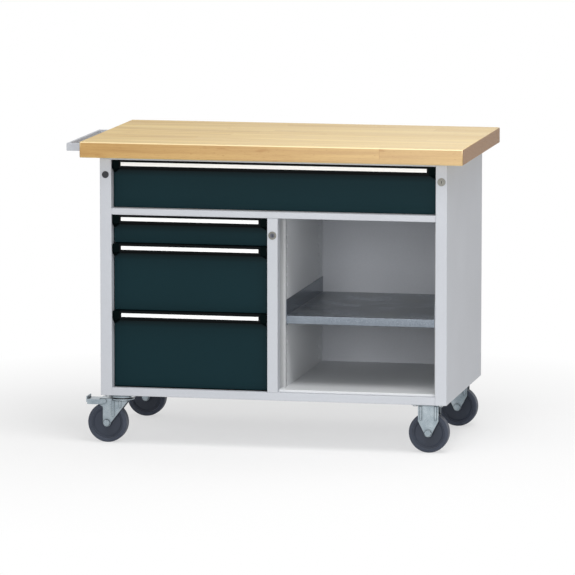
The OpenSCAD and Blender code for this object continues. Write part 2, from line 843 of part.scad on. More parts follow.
// About the axle; the swivel axis is trail to the right
module swivel_fork() {
    top = fork_top - wheel_r;
    left = -leg_r - fork_nose;
    right = trail + fork_tail;
    slope = (top - fork_edge) / (right - leg_r);
    color(zinc) {
        cheeks([[0, 0, axle_r + pin_gap], [pedal_x, pedal_z, pedal_pin_r + pin_gap]]) {
            circle(r = leg_r);
            polygon([
                [-leg_r, 0], [-leg_r, top - nose_h - nose_slant], [left, top - nose_h], [left, top],
                [right, top], [right, top - fork_edge], [leg_r, 0]
            ]);
        }
        ribs([for (x = fork_rib_xs) [leg_r + x, slope * (x + rib_w / 2) + rib_end, top - rib_end]]);
        difference() {
            union() {
                box_from([left, -fork_out, top - plate_t], [right, fork_out, top]);
                translate([trail, 0, top - plate_t]) cylinder(r = head_race_r, h = plate_t);
                translate([trail, 0, top]) cylinder(r = head_race_r - race_step, h = race_gap - fit_gap);
            }
            translate([trail, 0, top - plate_t - 1])
                cylinder(r = kingpin_r + bore_gap, h = plate_t + race_gap + 2);
        }
        axle();
        translate([pedal_x, -pedal_out, pedal_z]) rod_y(pedal_pin_r, 2 * pedal_out);
    }
}

// About the axle: two cheeks outside the fork, a tread plate, a raised tip and a brake shoe
module brake_pedal() {
    color(zinc) {
        for (s = [0, 1]) mirror([0, s, 0]) translate([0, pedal_in, 0]) difference() {
            plate_y(pedal_out - pedal_in) {
                translate([pedal_x, pedal_z]) circle(r = pedal_eye_r);
                polygon([
                    [pedal_x, pedal_z - pedal_eye_r], [pedal_x, pedal_z + pedal_eye_r],
                    [pedal_neck_x, pedal_top], [pedal_tip_x, pedal_top],
                    [pedal_tip_x, pedal_top - pedal_skirt], [pedal_neck_x, pedal_top - pedal_skirt]
                ]);
            }
            translate([pedal_x, -1, pedal_z]) rod_y(pedal_pin_r + bore_gap, pedal_out - pedal_in + 2);
        }
        box_from([pedal_tip_x, -pedal_out, pedal_top - tread_t], [pedal_neck_x + eps, pedal_out, pedal_top]);
        box_from([pedal_tip_x - tip_t, -pedal_out, pedal_top - tip_down],
            [pedal_tip_x, pedal_out, pedal_top + tip_up]);
        box_from([shoe_x, -shoe_half, pedal_top - shoe_under], [pedal_neck_x, shoe_half, pedal_top - eps]);
    }
}

module at_swivel_axle(i) on_bench() translate([swivel_x - trail, wheel_ys[i], wheel_r]) children();

module at_fixed_axle(i) on_bench() translate([fixed_x, wheel_ys[i], wheel_r]) children();

module front_swivel_fork() at_swivel_axle(0) swivel_fork();
module rear_swivel_fork() at_swivel_axle(1) swivel_fork();
module front_brake_pedal() at_swivel_axle(0) brake_pedal();
module rear_brake_pedal() at_swivel_axle(1) brake_pedal();

bracket_half = 32;
bracket_neck = 38;
bracket_rib_x = 23;

// About the axle
module fixed_fork() {
    top = plate_under - wheel_r;
    cheeks([[0, 0, axle_r + pin_gap]]) {
        circle(r = leg_r);
        polygon([
            [-leg_r, 0], [-bracket_half, bracket_neck], [-bracket_half, top],
            [bracket_half, top], [bracket_half, bracket_neck], [leg_r, 0]
        ]);
    }
    ribs([for (x = [-1, 1]) [x * bracket_rib_x, bracket_neck + 2, top - rib_end]]);
    box_from([-bracket_half, -fork_out, top - plate_t], [bracket_half, fork_out, top]);
    translate([0, 0, top + plate_t]) top_plate();
    axle();
}

module fixed_forks() color(zinc) for (i = [0, 1]) at_fixed_axle(i) fixed_fork();

tyre_t = 12.5;
tyre_round = 5;
hub_t = 9;
hub_play = 0.5;
web_t = 16;
rim_t = 9;
rim_step = 2;

// A wheel about its axle: a rubber tyre on a core with a hub, a web and a rim
module wheel() {
    tyre_in = wheel_r - tyre_t;
    bore = axle_r + bore_gap;
    half = wheel_w / 2;
    hub = fork_in - hub_play;
    color(dark_rubber) rotate([90, 0, 0]) {
        rotate_extrude() {
            translate([tyre_in, -half]) square([tyre_t - tyre_round, wheel_w]);
            translate([tyre_in, tyre_round - half]) square([tyre_t, wheel_w - 2 * tyre_round]);
            for (y = [tyre_round - half, half - tyre_round])
                translate([wheel_r - tyre_round, y]) circle(r = tyre_round);
        }
        rotate_extrude() {
            translate([bore, -hub]) square([hub_t, 2 * hub]);
            translate([bore, -web_t / 2]) square([tyre_in - bore_gap - bore, web_t]);
            translate([tyre_in - rim_t, rim_step - half]) square([rim_t - bore_gap, wheel_w - 2 * rim_step]);
        }
    }
}

module front_left_wheel() at_swivel_axle(0) wheel();
module rear_left_wheel() at_swivel_axle(1) wheel();
module front_right_wheel() at_fixed_axle(0) wheel();
module rear_right_wheel() at_fixed_axle(1) wheel();

// ---------------------------------------------------------------- nodes

worktop();
worktop_screws();
left_side_wall();
right_side_wall();
back_panel();
base_pan();
compartment_floor();
middle_panel();
divider_wall();
right_inner_wall();
centre_post();
top_rails();
runner_uprights();
shelf();
shelf_clips();
push_handle();
outer_runners();
lock_housings();
blanking_plug();
swivel_plates();
caster_bolts();
fixed_forks();
drawer_box("top");  // top_drawer_box
drawer_box("small");  // small_drawer_box
drawer_box("medium");  // medium_drawer_box
drawer_box("large");  // large_drawer_box
drawer_front("top");  // top_drawer_front
drawer_front("small");  // small_drawer_front
drawer_front("medium");  // medium_drawer_front
drawer_front("large");  // large_drawer_front
grip_rail("top");  // top_grip_rail
grip_rail("small");  // small_grip_rail
grip_rail("medium");  // medium_grip_rail
grip_rail("large");  // large_grip_rail
label_strip("top");  // top_label_strip
label_strip("small");  // small_label_strip
label_strip("medium");  // medium_label_strip
label_strip("large");  // large_label_strip
end_caps("top");  // top_end_caps
end_caps("small");  // small_end_caps
end_caps("medium");  // medium_end_caps
end_caps("large");  // large_end_caps
inner_runners("top");  // top_inner_runners
inner_runners("small");  // small_inner_runners
inner_runners("medium");  // medium_inner_runners
inner_runners("large");  // large_inner_runners
middle_runners("top");  // top_middle_runners
middle_runners("small");  // small_middle_runners
middle_runners("medium");  // medium_middle_runners
middle_runners("large");  // large_middle_runners
right_lock_plug();
centre_lock_plug();
front_swivel_fork();
rear_swivel_fork();
front_brake_pedal();
rear_brake_pedal();
front_left_wheel();
rear_left_wheel();
front_right_wheel();
rear_right_wheel();
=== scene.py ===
# %% [markdown]
# A mobile workbench, dressed cell by cell.
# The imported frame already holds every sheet, runner, wheel and bolt at its real size.
# This script gives the parts their finishes, rounds the edges that a press brake or a
# moulding tool would round, and adds the small things that make sheet steel look real.

import json
import math

import bmesh
import bpy
from mathutils import Matrix, Vector


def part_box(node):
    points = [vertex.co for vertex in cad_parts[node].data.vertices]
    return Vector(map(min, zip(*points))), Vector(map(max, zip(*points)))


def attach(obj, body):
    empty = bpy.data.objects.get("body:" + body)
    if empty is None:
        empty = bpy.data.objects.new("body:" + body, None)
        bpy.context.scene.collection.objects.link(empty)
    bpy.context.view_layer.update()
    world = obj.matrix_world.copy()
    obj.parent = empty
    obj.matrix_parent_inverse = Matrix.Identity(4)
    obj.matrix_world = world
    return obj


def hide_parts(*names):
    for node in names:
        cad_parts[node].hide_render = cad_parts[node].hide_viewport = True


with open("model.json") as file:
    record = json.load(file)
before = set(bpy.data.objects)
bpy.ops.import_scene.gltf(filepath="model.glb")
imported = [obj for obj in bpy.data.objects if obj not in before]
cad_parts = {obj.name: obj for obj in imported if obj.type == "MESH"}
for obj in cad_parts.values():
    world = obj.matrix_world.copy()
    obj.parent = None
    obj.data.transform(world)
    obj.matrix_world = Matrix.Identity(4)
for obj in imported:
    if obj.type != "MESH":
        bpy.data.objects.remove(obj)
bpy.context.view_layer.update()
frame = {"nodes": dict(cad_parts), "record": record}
NODES = frame["nodes"]
BODY_OF = {n: b for b, names in frame["record"]["behaviour"]["bodies"].items() for n in names}
SLOT_OF = {s["node"]: s["material_slot"] for s in frame["record"]["subparts"]}
DRAWERS = ("top", "small", "medium", "large")

# %% [markdown]
# The frame's boxes give every size that a piece shares with its neighbours. What only this
# script makes, such as a bolt's head or a weld's bead, is a named size beside it.
# The bench stands with its drawer fronts towards -Y and its push handle towards -X.

# %% Measure the frame
TOP_LOW, TOP_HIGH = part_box("worktop")
WALL_LEFT, WALL_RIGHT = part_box("left_side_wall"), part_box("right_side_wall")
BENCH_X = (TOP_LOW.x + TOP_HIGH.x) / 2
MM = 0.001
print("worktop, mm:", [round(c / MM) for c in TOP_HIGH - TOP_LOW])

# %% [markdown]
# A material is a tree of nodes. Short helpers keep the trees readable: one adds a node and
# fills in its sockets, one opens a group with named inputs and outputs, and the others each
# stand for a node that is needed often, such as a noise or a mix of two colours.

# %% Helpers for node trees
def add(tree, kind, sockets=None, **settings):
    """Adds a node, sets its properties, then sets or links its inputs by name or number."""
    node = tree.nodes.new(kind)
    for key, value in settings.items():
        setattr(node, key, value)
    for key, value in (sockets or {}).items():
        if isinstance(value, bpy.types.NodeSocket):
            tree.links.new(value, node.inputs[key])
        else:
            node.inputs[key].default_value = value
    return node


def open_group(name, inputs, outputs, kind="ShaderNodeTree"):
    """A node group with sockets given as (name, type, default); returns it with its two ends."""
    tree = bpy.data.node_groups.new(name, kind)
    for label, socket, default in inputs:
        made = tree.interface.new_socket(label, in_out="INPUT", socket_type="NodeSocket" + socket)
        if default is not None:
            made.default_value = default
    for label, socket in outputs:
        tree.interface.new_socket(label, in_out="OUTPUT", socket_type="NodeSocket" + socket)
    return tree, tree.nodes.new("NodeGroupInput").outputs, tree.nodes.new("NodeGroupOutput").inputs


def sums(tree, operation, a, b=0.0, clamp=False):
    """One step of arithmetic."""
    return add(tree, "ShaderNodeMath", {0: a, 1: b}, operation=operation, use_clamp=clamp).outputs[0]


def mix_colour(tree, share, a, b, blend="MIX"):
    """Mixes two colours by a share from 0 to 1."""
    made = add(tree, "ShaderNodeMix", {"Factor": share}, data_type="RGBA", blend_type=blend)
    for socket, value in ((made.inputs[6], a), (made.inputs[7], b)):
        if isinstance(value, bpy.types.NodeSocket):
            tree.links.new(value, socket)
        else:
            socket.default_value = (*value, 1)
    return made.outputs[2]


def remap(tree, value, low, high, to_low=0.0, to_high=1.0):
    """Maps one range of values on to another, and stops at its ends."""
    ends = {"From Min": low, "From Max": high, "To Min": to_low, "To Max": to_high}
    return add(tree, "ShaderNodeMapRange", {"Value": value, **ends}).outputs[0]


def here(tree):
    """Where each point is, in Object coordinates, which are the frame's own."""
    return add(tree, "ShaderNodeTexCoord").outputs["Object"]


def faces_to(tree):
    """How far each point faces along X, Y and Z: the parts of its true normal."""
    normal = add(tree, "ShaderNodeNewGeometry").outputs["Normal"]
    return add(tree, "ShaderNodeSeparateXYZ", {0: normal}).outputs


def noise(tree, place, scale, detail=2.0, stretch=None, **more):
    """Noise at a place; stretch squeezes it along an axis, as grain is."""
    if stretch:
        place = add(tree, "ShaderNodeMapping", {"Vector": place, "Scale": stretch}).outputs[0]
    inputs = {"Vector": place, "Scale": scale, "Detail": detail, **more}
    return add(tree, "ShaderNodeTexNoise", inputs).outputs[0]


def srgb(r, g, b):
    """A colour as the eye names it, 0 to 255, turned into the linear values that nodes use."""
    shares = (r / 255, g / 255, b / 255)
    return tuple(c / 12.92 if c <= 0.04045 else ((c + 0.055) / 1.055) ** 2.4 for c in shares)


def tinted(tree, colour, mask, amount, other):
    """Lets another colour through where a mask is, by an amount."""
    return mix_colour(tree, sums(tree, "MULTIPLY", mask, amount), colour, srgb(*other))


# %% [markdown]
# Folded and moulded parts have no knife-sharp edges. The Bevel node looks at the surface
# a millimetre around each point and returns a rounded normal; where that differs from the
# true normal, the point is near an edge, and the finishes lighten it there, partly as wear
# and partly as a painted highlight. Several finishes share this, so it is a group.

# %% Group: worn and highlighted edge
EDGE, ends_in, ends_out = open_group(
    "worn_edge",
    [("Radius", "Float", 1 * MM), ("Breakup", "Float", 60.0), ("Amount", "Float", 0.5)],
    [("Mask", "Float"), ("Normal", "Vector")],
)
rounded = add(EDGE, "ShaderNodeBevel", {"Radius": ends_in["Radius"]}, samples=4).outputs[0]
true_normal = add(EDGE, "ShaderNodeNewGeometry").outputs["Normal"]
likeness = add(
    EDGE, "ShaderNodeVectorMath", {0: rounded, 1: true_normal}, operation="DOT_PRODUCT"
).outputs["Value"]
edge = remap(EDGE, likeness, 0.98, 0.80)
patches = remap(EDGE, noise(EDGE, here(EDGE), ends_in["Breakup"], 4.0), 0.42, 0.62)
rubbed_and_highlighted = sums(EDGE, "MULTIPLY", edge, patches)
EDGE.links.new(sums(EDGE, "MULTIPLY", rubbed_and_highlighted, ends_in["Amount"]), ends_out["Mask"])
EDGE.links.new(rounded, ends_out["Normal"])
print("group:", EDGE.name)

# %% [markdown]
# Dust settles on what faces up, in soft patches. A second group works that out from the
# normal and a slow noise. It gives a share, and each material decides what dust does to it.

# %% Group: settled dust
DUST, ends_in, ends_out = open_group("settled_dust", [("Amount", "Float", 0.2)], [("Share", "Float")])
patches = remap(DUST, noise(DUST, here(DUST), 9.0, 5.0), 0.35, 0.75)
lying = sums(DUST, "MULTIPLY", remap(DUST, faces_to(DUST)["Z"], 0.6, 1.0), patches)
DUST.links.new(sums(DUST, "MULTIPLY", lying, ends_in["Amount"]), ends_out["Share"])
print("group:", DUST.name)

# %% [markdown]
# Painted shade darkens the nooks: along the foot of a pressed rib, or round a lock.
# The Ambient Occlusion node tells how much of the air in front of a point is free, so the
# less is free, the larger the share of painted shade. Its reach is the size of the nook.

# %% Group: painted shade in nooks
NOOKS, ends_in, ends_out = open_group(
    "grime_in_nooks", [("Reach", "Float", 6 * MM), ("Amount", "Float", 0.6)], [("Share", "Float")]
)
free = add(NOOKS, "ShaderNodeAmbientOcclusion", {"Distance": ends_in["Reach"]}, samples=6).outputs["AO"]
closed_in = remap(NOOKS, free, 0.40, 0.95, 1.0, 0.0)
NOOKS.links.new(sums(NOOKS, "MULTIPLY", closed_in, ends_in["Amount"]), ends_out["Share"])
print("group:", NOOKS.name)

# %% [markdown]
# Powder coat is sprayed dry and melted on, so it has a fine pebbled skin. The next group
# gives that skin's height, and a tone that drifts slowly and carries fine specks, which
# keeps a large panel from looking printed.

# %% Group: powder coat skin
SKIN, ends_in, ends_out = open_group(
    "powder_skin",
    [("Grain", "Float", 900.0), ("Drift", "Float", 1.0)],
    [("Height", "Float"), ("Tone", "Float")],
)
place = here(SKIN)
pebbles = noise(SKIN, place, ends_in["Grain"], 3.0)
SKIN.links.new(pebbles, ends_out["Height"])
slow = sums(SKIN, "SUBTRACT", noise(SKIN, place, 2.2, 3.0), 0.5)
specks = sums(SKIN, "MULTIPLY", sums(SKIN, "SUBTRACT", noise(SKIN, place, 420.0, 2.0), 0.5), 0.6)
uneven = sums(SKIN, "ADD", slow, specks)
SKIN.links.new(sums(SKIN, "MULTIPLY", uneven, ends_in["Drift"]), ends_out["Tone"])
print("group:", SKIN.name)

# %% [markdown]
# Rolled, drawn and ground metal carries fine lines one way. The next group stretches a
# noise along X, Y or Z; what it feeds is left to the material.

# %% Group: drawn lines
LINES, ends_in, ends_out = open_group(
    "drawn_lines",
    [("Stretch", "Vector", (4.0, 900.0, 900.0)), ("Scale", "Float", 1.0)],
    [("Line", "Float")],
)
stretched = noise(LINES, here(LINES), ends_in["Scale"], 3.0, ends_in["Stretch"])
LINES.links.new(stretched, ends_out["Line"])
print("group:", LINES.name)

# %% [markdown]
# A group is placed in a material like any node, with values of its own.

# %% Helper: use a group
def use(tree, group, **sockets):
    """Places a group in a material, with its own values."""
    made = add(tree, "ShaderNodeGroup")
    made.node_tree = group
    for key, value in sockets.items():
        made.inputs[key].default_value = value
    return made.outputs

# %% [markdown]
# Every material ends in one Principled shader. This helper makes it, sets the numbers that
# are the same all over the surface on the shader itself, and leaves the rest to be linked.

# %% Helper: start a material
def finish(name, **numbers):
    """A new material with plain numbers on its shader; returns it, its tree and its sockets."""
    made = bpy.data.materials.new(name)
    made.use_nodes = True
    tree = made.node_tree
    shader = tree.nodes["Principled BSDF"]
    for key, value in numbers.items():
        shader.inputs[key.replace("_", " ")].default_value = value
    return made, tree, shader.inputs


def relief(tree, sockets, height, distance, normal=None):
    """Turns a height into a bump, on top of a rounded normal if one is given."""
    bump = add(tree, "ShaderNodeBump", {"Height": height, "Distance": distance})
    if normal is not None:
        tree.links.new(normal, bump.inputs["Normal"])
    tree.links.new(bump.outputs[0], sockets["Normal"])


def settle_dust(tree, sockets, colour, roughness, amount, dust=(150, 146, 138)):
    """Lays dust over a colour and dulls the gloss there, then links both to the shader."""
    share = use(tree, DUST, Amount=amount)[0]
    tree.links.new(mix_colour(tree, share, colour, srgb(*dust)), sockets["Base Color"])
    dulled = sums(tree, "MULTIPLY", share, 0.5)
    tree.links.new(sums(tree, "ADD", roughness, dulled, clamp=True), sockets["Roughness"])


# %% [markdown]
# The cabinet's sheets are powder coated in a cool light grey. The paint is the same from
# edge to edge, so its life comes from small things: the pebbled skin, a slow drift in tone,
# edges lightened partly as wear and partly as a painted highlight, and dust on what faces up.
#
# Painted shade darkens it too: a front under its overhanging grip rail, and a compartment's
# wall at its front fold, which is set back in shade. Those meshes keep, at each point, how far
# it is from that edge, and a coat with painted shade reads that number: it is full up to one
# distance and gone at another.

# %% Finish: powder coats
SHADE_FULL_TO, SHADE_GONE_AT = 26 * MM, 52 * MM


def powder_coat(name, colour, edge_wear_and_highlight_colour, roughness, wear, dust, gleam, grime=0.0):
    """Sprayed coat on sheet steel, with wear and a painted highlight at its edges, and painted shade near a
    shaded edge.
    """
    made, tree, sockets = finish(name, Specular_IOR_Level=gleam)
    skin = use(tree, SKIN, Grain=1100.0, Drift=1.0)
    worn_and_highlighted = use(tree, EDGE, Radius=1.1 * MM, Breakup=70.0, Amount=wear)
    dark = tuple(c * 0.90 for c in srgb(*colour))
    light = tuple(min(1, c * 1.08) for c in srgb(*colour))
    tone = mix_colour(tree, remap(tree, skin["Tone"], -0.35, 0.35), dark, light)
    # Edges are lightened towards the edge colour, partly as wear and partly as a painted highlight.
    painted = mix_colour(tree, worn_and_highlighted["Mask"], tone, srgb(*edge_wear_and_highlight_colour))
    if grime:
        # Painted shade: near-black is laid on up to a distance from a shaded edge, fading out beyond it.
        away = add(tree, "ShaderNodeAttribute", attribute_name="from_hands").outputs["Fac"]
        painted_shade_share = remap(tree, away, SHADE_FULL_TO, SHADE_GONE_AT, grime, 0.0)
        painted = mix_colour(tree, painted_shade_share, painted, srgb(1, 9, 9))
    gloss = remap(tree, skin["Height"], 0.3, 0.7, roughness - 0.05, roughness + 0.06)
    settle_dust(tree, sockets, painted, gloss, dust)
    relief(tree, sockets, skin["Height"], 0.06 * MM, worn_and_highlighted["Normal"])
    return made


SHEET_COAT = {"roughness": 0.46, "wear": 0.5, "dust": 0.06, "gleam": 0.40}
FRONT_COAT = {"roughness": 0.52, "wear": 0.30, "dust": 0.04, "gleam": 0.10}
GREY_PAINT = powder_coat("grey_powder_coat", (188, 191, 197), (218, 221, 226), **SHEET_COAT)
# Painted light: the two compartment coats are lighter copies of the grey coat; the wall coat also carries
# painted shade at its front fold.
INNER_COAT_PAINTED_LIGHTER = powder_coat("inner_powder_coat", (218, 220, 222), (224, 226, 228), **SHEET_COAT)
WALL_COAT_PAINTED_LIGHTER = powder_coat("wall_powder_coat", (222, 224, 226), (228, 230, 232), **SHEET_COAT, grime=0.42)
# The front coat is darkened under its grip rail as a painted shadow.
FRONT_PAINT = powder_coat("anthracite_powder_coat", (9, 39, 45), (46, 70, 76), **FRONT_COAT, grime=0.9)
print("finishes:", GREY_PAINT.name, INNER_COAT_PAINTED_LIGHTER.name, WALL_COAT_PAINTED_LIGHTER.name, FRONT_PAINT.name)

# %% [markdown]
# The top is solid beech, glued up from staves that run the length of the bench. A stave
# pattern is simple arithmetic on the position: dividing Y by the stave width gives the row,
# and dividing X, shifted by a random amount per row, gives the piece in that row. White
# noise on those two whole numbers gives each stave its own tone and its own grain.

# %% Group: staves
STAVES, ends_in, ends_out = open_group(
    "staves",
    [("Width", "Float", 62 * MM), ("Length", "Float", 1020 * MM)],
    [("Tone", "Float"), ("Seam", "Float"), ("Shifted", "Vector")],
)
place = here(STAVES)
split = add(STAVES, "ShaderNodeSeparateXYZ", {0: place}).outputs
across = sums(STAVES, "DIVIDE", split["Y"], ends_in["Width"])
row = sums(STAVES, "FLOOR", across)
lead = add(STAVES, "ShaderNodeTexWhiteNoise", {"W": row}, noise_dimensions="1D").outputs[0]
in_lengths = sums(STAVES, "DIVIDE", split["X"], ends_in["Length"])
along = sums(STAVES, "ADD", in_lengths, sums(STAVES, "MULTIPLY", lead, 7.0))
piece = sums(STAVES, "FLOOR", along)
name_of = add(STAVES, "ShaderNodeCombineXYZ", {0: row, 1: piece}).outputs[0]
own = add(STAVES, "ShaderNodeTexWhiteNoise", {"Vector": name_of}, noise_dimensions="3D").outputs
near_side = sums(STAVES, "PINGPONG", across, 0.5)
near_end = sums(STAVES, "PINGPONG", along, 0.5)
side_seam = remap(STAVES, near_side, 0.0, 0.012, 1.0, 0.0)
end_seam = remap(STAVES, near_end, 0.0, 0.0010, 1.0, 0.0)
STAVES.links.new(own["Value"], ends_out["Tone"])
STAVES.links.new(sums(STAVES, "MAXIMUM", side_seam, end_seam), ends_out["Seam"])
jump = add(STAVES, "ShaderNodeVectorMath", {0: own["Color"], "Scale": 9.0}, operation="SCALE").outputs[0]
moved = add(STAVES, "ShaderNodeVectorMath", {0: place, 1: jump}, operation="ADD").outputs[0]
STAVES.links.new(moved, ends_out["Shifted"])
print("group:", STAVES.name)

# %% [markdown]
# Grain is noise squeezed along X: coarse for the growth rings, fine for the pores, and a
# sparse one for the short brown flecks that mark beech. Each stave is a little paler or
# darker than the next, and the wood is painted paler towards its right end, a painted sheen.

# %% Finish: oiled beech, the boards
BEECH, tree, sockets = finish("oiled_beech", Specular_IOR_Level=0.22)
stave = use(tree, STAVES, Width=62 * MM, Length=1020 * MM)
shifted = stave["Shifted"]
along_top = add(tree, "ShaderNodeSeparateXYZ", {0: here(tree)}).outputs["X"]
rings = noise(tree, shifted, 1.0, 3.0, (1.3, 26.0, 44.0), Distortion=1.0)
streaks = noise(tree, shifted, 1.0, 3.0, (4.0, 190.0, 190.0))
fine = sums(tree, "MULTIPLY", sums(tree, "SUBTRACT", streaks, 0.5), 0.55)
figure = remap(tree, sums(tree, "ADD", rings, fine), 0.36, 0.66)
wood = mix_colour(tree, figure, srgb(188, 150, 84), srgb(222, 192, 121))
pale = remap(tree, stave["Tone"], 0.0, 1.0, 0.0, 0.50)
wood = mix_colour(tree, pale, wood, srgb(228, 204, 139))
# Painted sheen: the wood is painted paler towards its right end.
painted_right_sheen = remap(tree, along_top, -0.5, 0.5, 0.0, 0.40)
wood = mix_colour(tree, painted_right_sheen, wood, srgb(236, 220, 184))
dark = remap(tree, stave["Tone"], 0.72, 1.0, 0.0, 0.30)
wood = mix_colour(tree, dark, wood, srgb(182, 140, 76))
pores = noise(tree, shifted, 1.0, 2.0, (60.0, 1500.0, 1500.0))
flecks = remap(tree, noise(tree, shifted, 1.0, 1.0, (70.0, 620.0, 500.0)), 0.70, 0.80)
knots = remap(tree, noise(tree, shifted, 1.0, 2.0, (9.0, 30.0, 30.0)), 0.66, 0.76)
wood = tinted(tree, wood, remap(tree, pores, 0.5, 0.72), 0.22, (166, 118, 68))
wood = tinted(tree, wood, flecks, 0.45, (142, 92, 48))
wood = tinted(tree, wood, knots, 0.40, (160, 106, 54))
wood = tinted(tree, wood, stave["Seam"], 0.30, (150, 104, 58))
print("beech nodes so far:", len(tree.nodes))

# %% [markdown]
# A slab's edges differ from its face. The long edges show the side of the boards, which is
# browner, and they are painted darker still towards the left, a painted shade. Their rounded
# rim is painted pale, a painted highlight with some wear. At the two ends the staves are cut
# across, so the rings show as arcs and the wood has soaked up more oil. Which way a point
# faces tells the edge from the face and the end.

# %% Finish: oiled beech, edges and ends
facing = faces_to(tree)
sideways = sums(tree, "ABSOLUTE", facing["Y"])
long_edge = remap(tree, sideways, 0.80, 0.98)
# Painted shade: the long edges are darker towards the left.
painted_left_shade = remap(tree, along_top, -0.6, 0.5, 1.0, 0.70)
browner_and_shaded = sums(tree, "MULTIPLY", long_edge, painted_left_shade)
wood = mix_colour(tree, browner_and_shaded, wood, srgb(216, 199, 194), blend="MULTIPLY")
# Painted highlight, with some wear: the rounded rim is painted pale.
rim = sums(tree, "MINIMUM", sideways, facing["Z"])
wood = mix_colour(tree, remap(tree, rim, 0.15, 0.45, 0.0, 0.8), wood, srgb(246, 228, 184))
end_face = remap(tree, sums(tree, "ABSOLUTE", facing["X"]), 0.6, 0.9)
cut = noise(tree, shifted, 1.0, 4.0, (300.0, 420.0, 420.0))
arcs = add(
    tree, "ShaderNodeTexWave", {"Vector": shifted, "Scale": 42.0, "Distortion": 5.0, "Detail": 2.0},
    wave_type="RINGS", rings_direction="X",
).outputs["Fac"]
end_wood = mix_colour(tree, remap(tree, cut, 0.35, 0.65), srgb(130, 94, 56), srgb(166, 124, 78))
end_wood = tinted(tree, end_wood, arcs, 0.25, (128, 92, 66))
tree.links.new(mix_colour(tree, end_face, wood, end_wood), sockets["Base Color"])
tree.links.new(remap(tree, streaks, 0.3, 0.7, 0.36, 0.50), sockets["Roughness"])
grooves = sums(tree, "MULTIPLY", stave["Seam"], 0.6)
depth = sums(tree, "SUBTRACT", sums(tree, "MULTIPLY", streaks, 0.5), grooves)
depth = sums(tree, "SUBTRACT", depth, sums(tree, "MULTIPLY", pores, 0.25))
relief(tree, sockets, depth, 0.18 * MM, use(tree, EDGE, Radius=1.5 * MM)["Normal"])
print("beech nodes:", len(tree.nodes))

# %% [markdown]
# The bare metals are one recipe with other numbers, and each is lightened at its edges,
# partly as wear and partly as a painted highlight. The shelf is galvanised, so its zinc has
# spangles and carries dust; that dust is laid on thick and pale, so it also paints light on
# to the shelf's top. The runners are drawn and show lines along their length. The casters'
# pressed parts are smooth zinc with a strong painted highlight on their edges and painted
# shade along their ribs. The locks are nickel and steel gone dull, so they are only half
# metallic, with painted shade in their nooks.

# %% Finish: plated metals
def plated(
    name, dark, light, roughness, metallic=1.0, lines=None, spangle=None, wear=0.35, grime=0.0, dust=0.10
):
    """Plated metal, cloudy between two tones, with lines or spangles where they are given."""
    made, tree, sockets = finish(name, Metallic=metallic)
    place = here(tree)
    clouds = noise(tree, place, 26.0, 5.0)
    worn_and_highlighted = use(tree, EDGE, Radius=0.9 * MM, Breakup=120.0, Amount=wear)
    detail = noise(tree, place, 700.0, 2.0)
    if lines:
        detail = use(tree, LINES, Stretch=lines)["Line"]
    if spangle:
        cell = add(tree, "ShaderNodeTexVoronoi", {"Vector": place, "Scale": spangle}).outputs["Color"]
        flake = add(tree, "ShaderNodeSeparateColor", {0: cell}).outputs[0]
        share = sums(tree, "MULTIPLY", flake, 0.4)
        clouds = sums(tree, "ADD", sums(tree, "MULTIPLY", clouds, 0.6), share)
    tone = mix_colour(tree, remap(tree, clouds, 0.30, 0.70), srgb(*dark), srgb(*light))
    # Edges are lightened, partly as wear and partly as a painted highlight.
    tone = mix_colour(tree, worn_and_highlighted["Mask"], tone, srgb(232, 234, 236))
    if grime:
        # Painted shade: nooks that the Ambient Occlusion node finds closed are darkened.
        nook_shade = use(tree, NOOKS, Reach=9 * MM, Amount=grime)[0]
        tone = mix_colour(tree, nook_shade, tone, srgb(40, 46, 50))
    gloss = remap(tree, detail, 0.3, 0.7, roughness - 0.07, roughness + 0.09)
    settle_dust(tree, sockets, tone, gloss, dust, dust=(196, 196, 192))
    relief(tree, sockets, detail, 0.03 * MM, worn_and_highlighted["Normal"])
    return made


ALONG_Y = (900.0, 6.0, 900.0)
LOCK_METAL = {"roughness": 0.50, "metallic": 0.5, "grime": 0.6}
# Painted light: the shelf's thick pale dust also lightens its top.
SHELF_STEEL = plated("spangled_zinc", (118, 126, 135), (128, 136, 145), 0.22, 0.9, spangle=210.0, dust=0.55)
RUNNER_STEEL = plated("drawn_zinc", (172, 176, 180), (206, 209, 212), 0.28, lines=ALONG_Y)
# Pressed zinc: a strong painted highlight with some wear on its edges, and painted shade along its ribs.
ZINC = plated("pressed_zinc", (132, 144, 152), (170, 180, 186), 0.30, grime=1.0, wear=1.0)
NICKEL = plated("turned_nickel", (112, 111, 106), (140, 139, 132), **LOCK_METAL)
KEYED_STEEL = plated("keyed_plug_steel", (84, 86, 96), (104, 106, 116), **LOCK_METAL)
SCREW_STEEL = plated("screw_zinc", (156, 160, 164), (200, 204, 206), 0.26)
print("finishes:", SHELF_STEEL.name, RUNNER_STEEL.name, ZINC.name, NICKEL.name)

# %% [markdown]
# The end caps, the blanking plug and the wheels' cores are moulded plastic. A mould is
# spark-eroded to a fine matt grain, and the plastic takes it up. The white strips in the
# grips are smooth label stock, made by the same recipe with almost no grain.

# %% Finish: plastics
def moulded(name, colour, roughness, gleam, grain=1600.0, bump=0.04 * MM, dust=0.02, spread=0.18):
    """Moulded plastic with a matt grain; spread is how far its tone drifts."""
    made, tree, sockets = finish(name, Specular_IOR_Level=gleam)
    place = here(tree)
    skin = noise(tree, place, grain, 3.0)
    slow = noise(tree, place, 14.0, 3.0)
    low = tuple(c * (1 - spread) for c in srgb(*colour))
    high = tuple(c * (1 + spread) for c in srgb(*colour))
    tone = mix_colour(tree, remap(tree, slow, 0.35, 0.65), low, high)
    gloss = remap(tree, skin, 0.3, 0.7, roughness - 0.06, roughness + 0.08)
    settle_dust(tree, sockets, tone, gloss, dust)
    relief(tree, sockets, skin, bump, use(tree, EDGE, Radius=0.8 * MM)["Normal"])
    return made


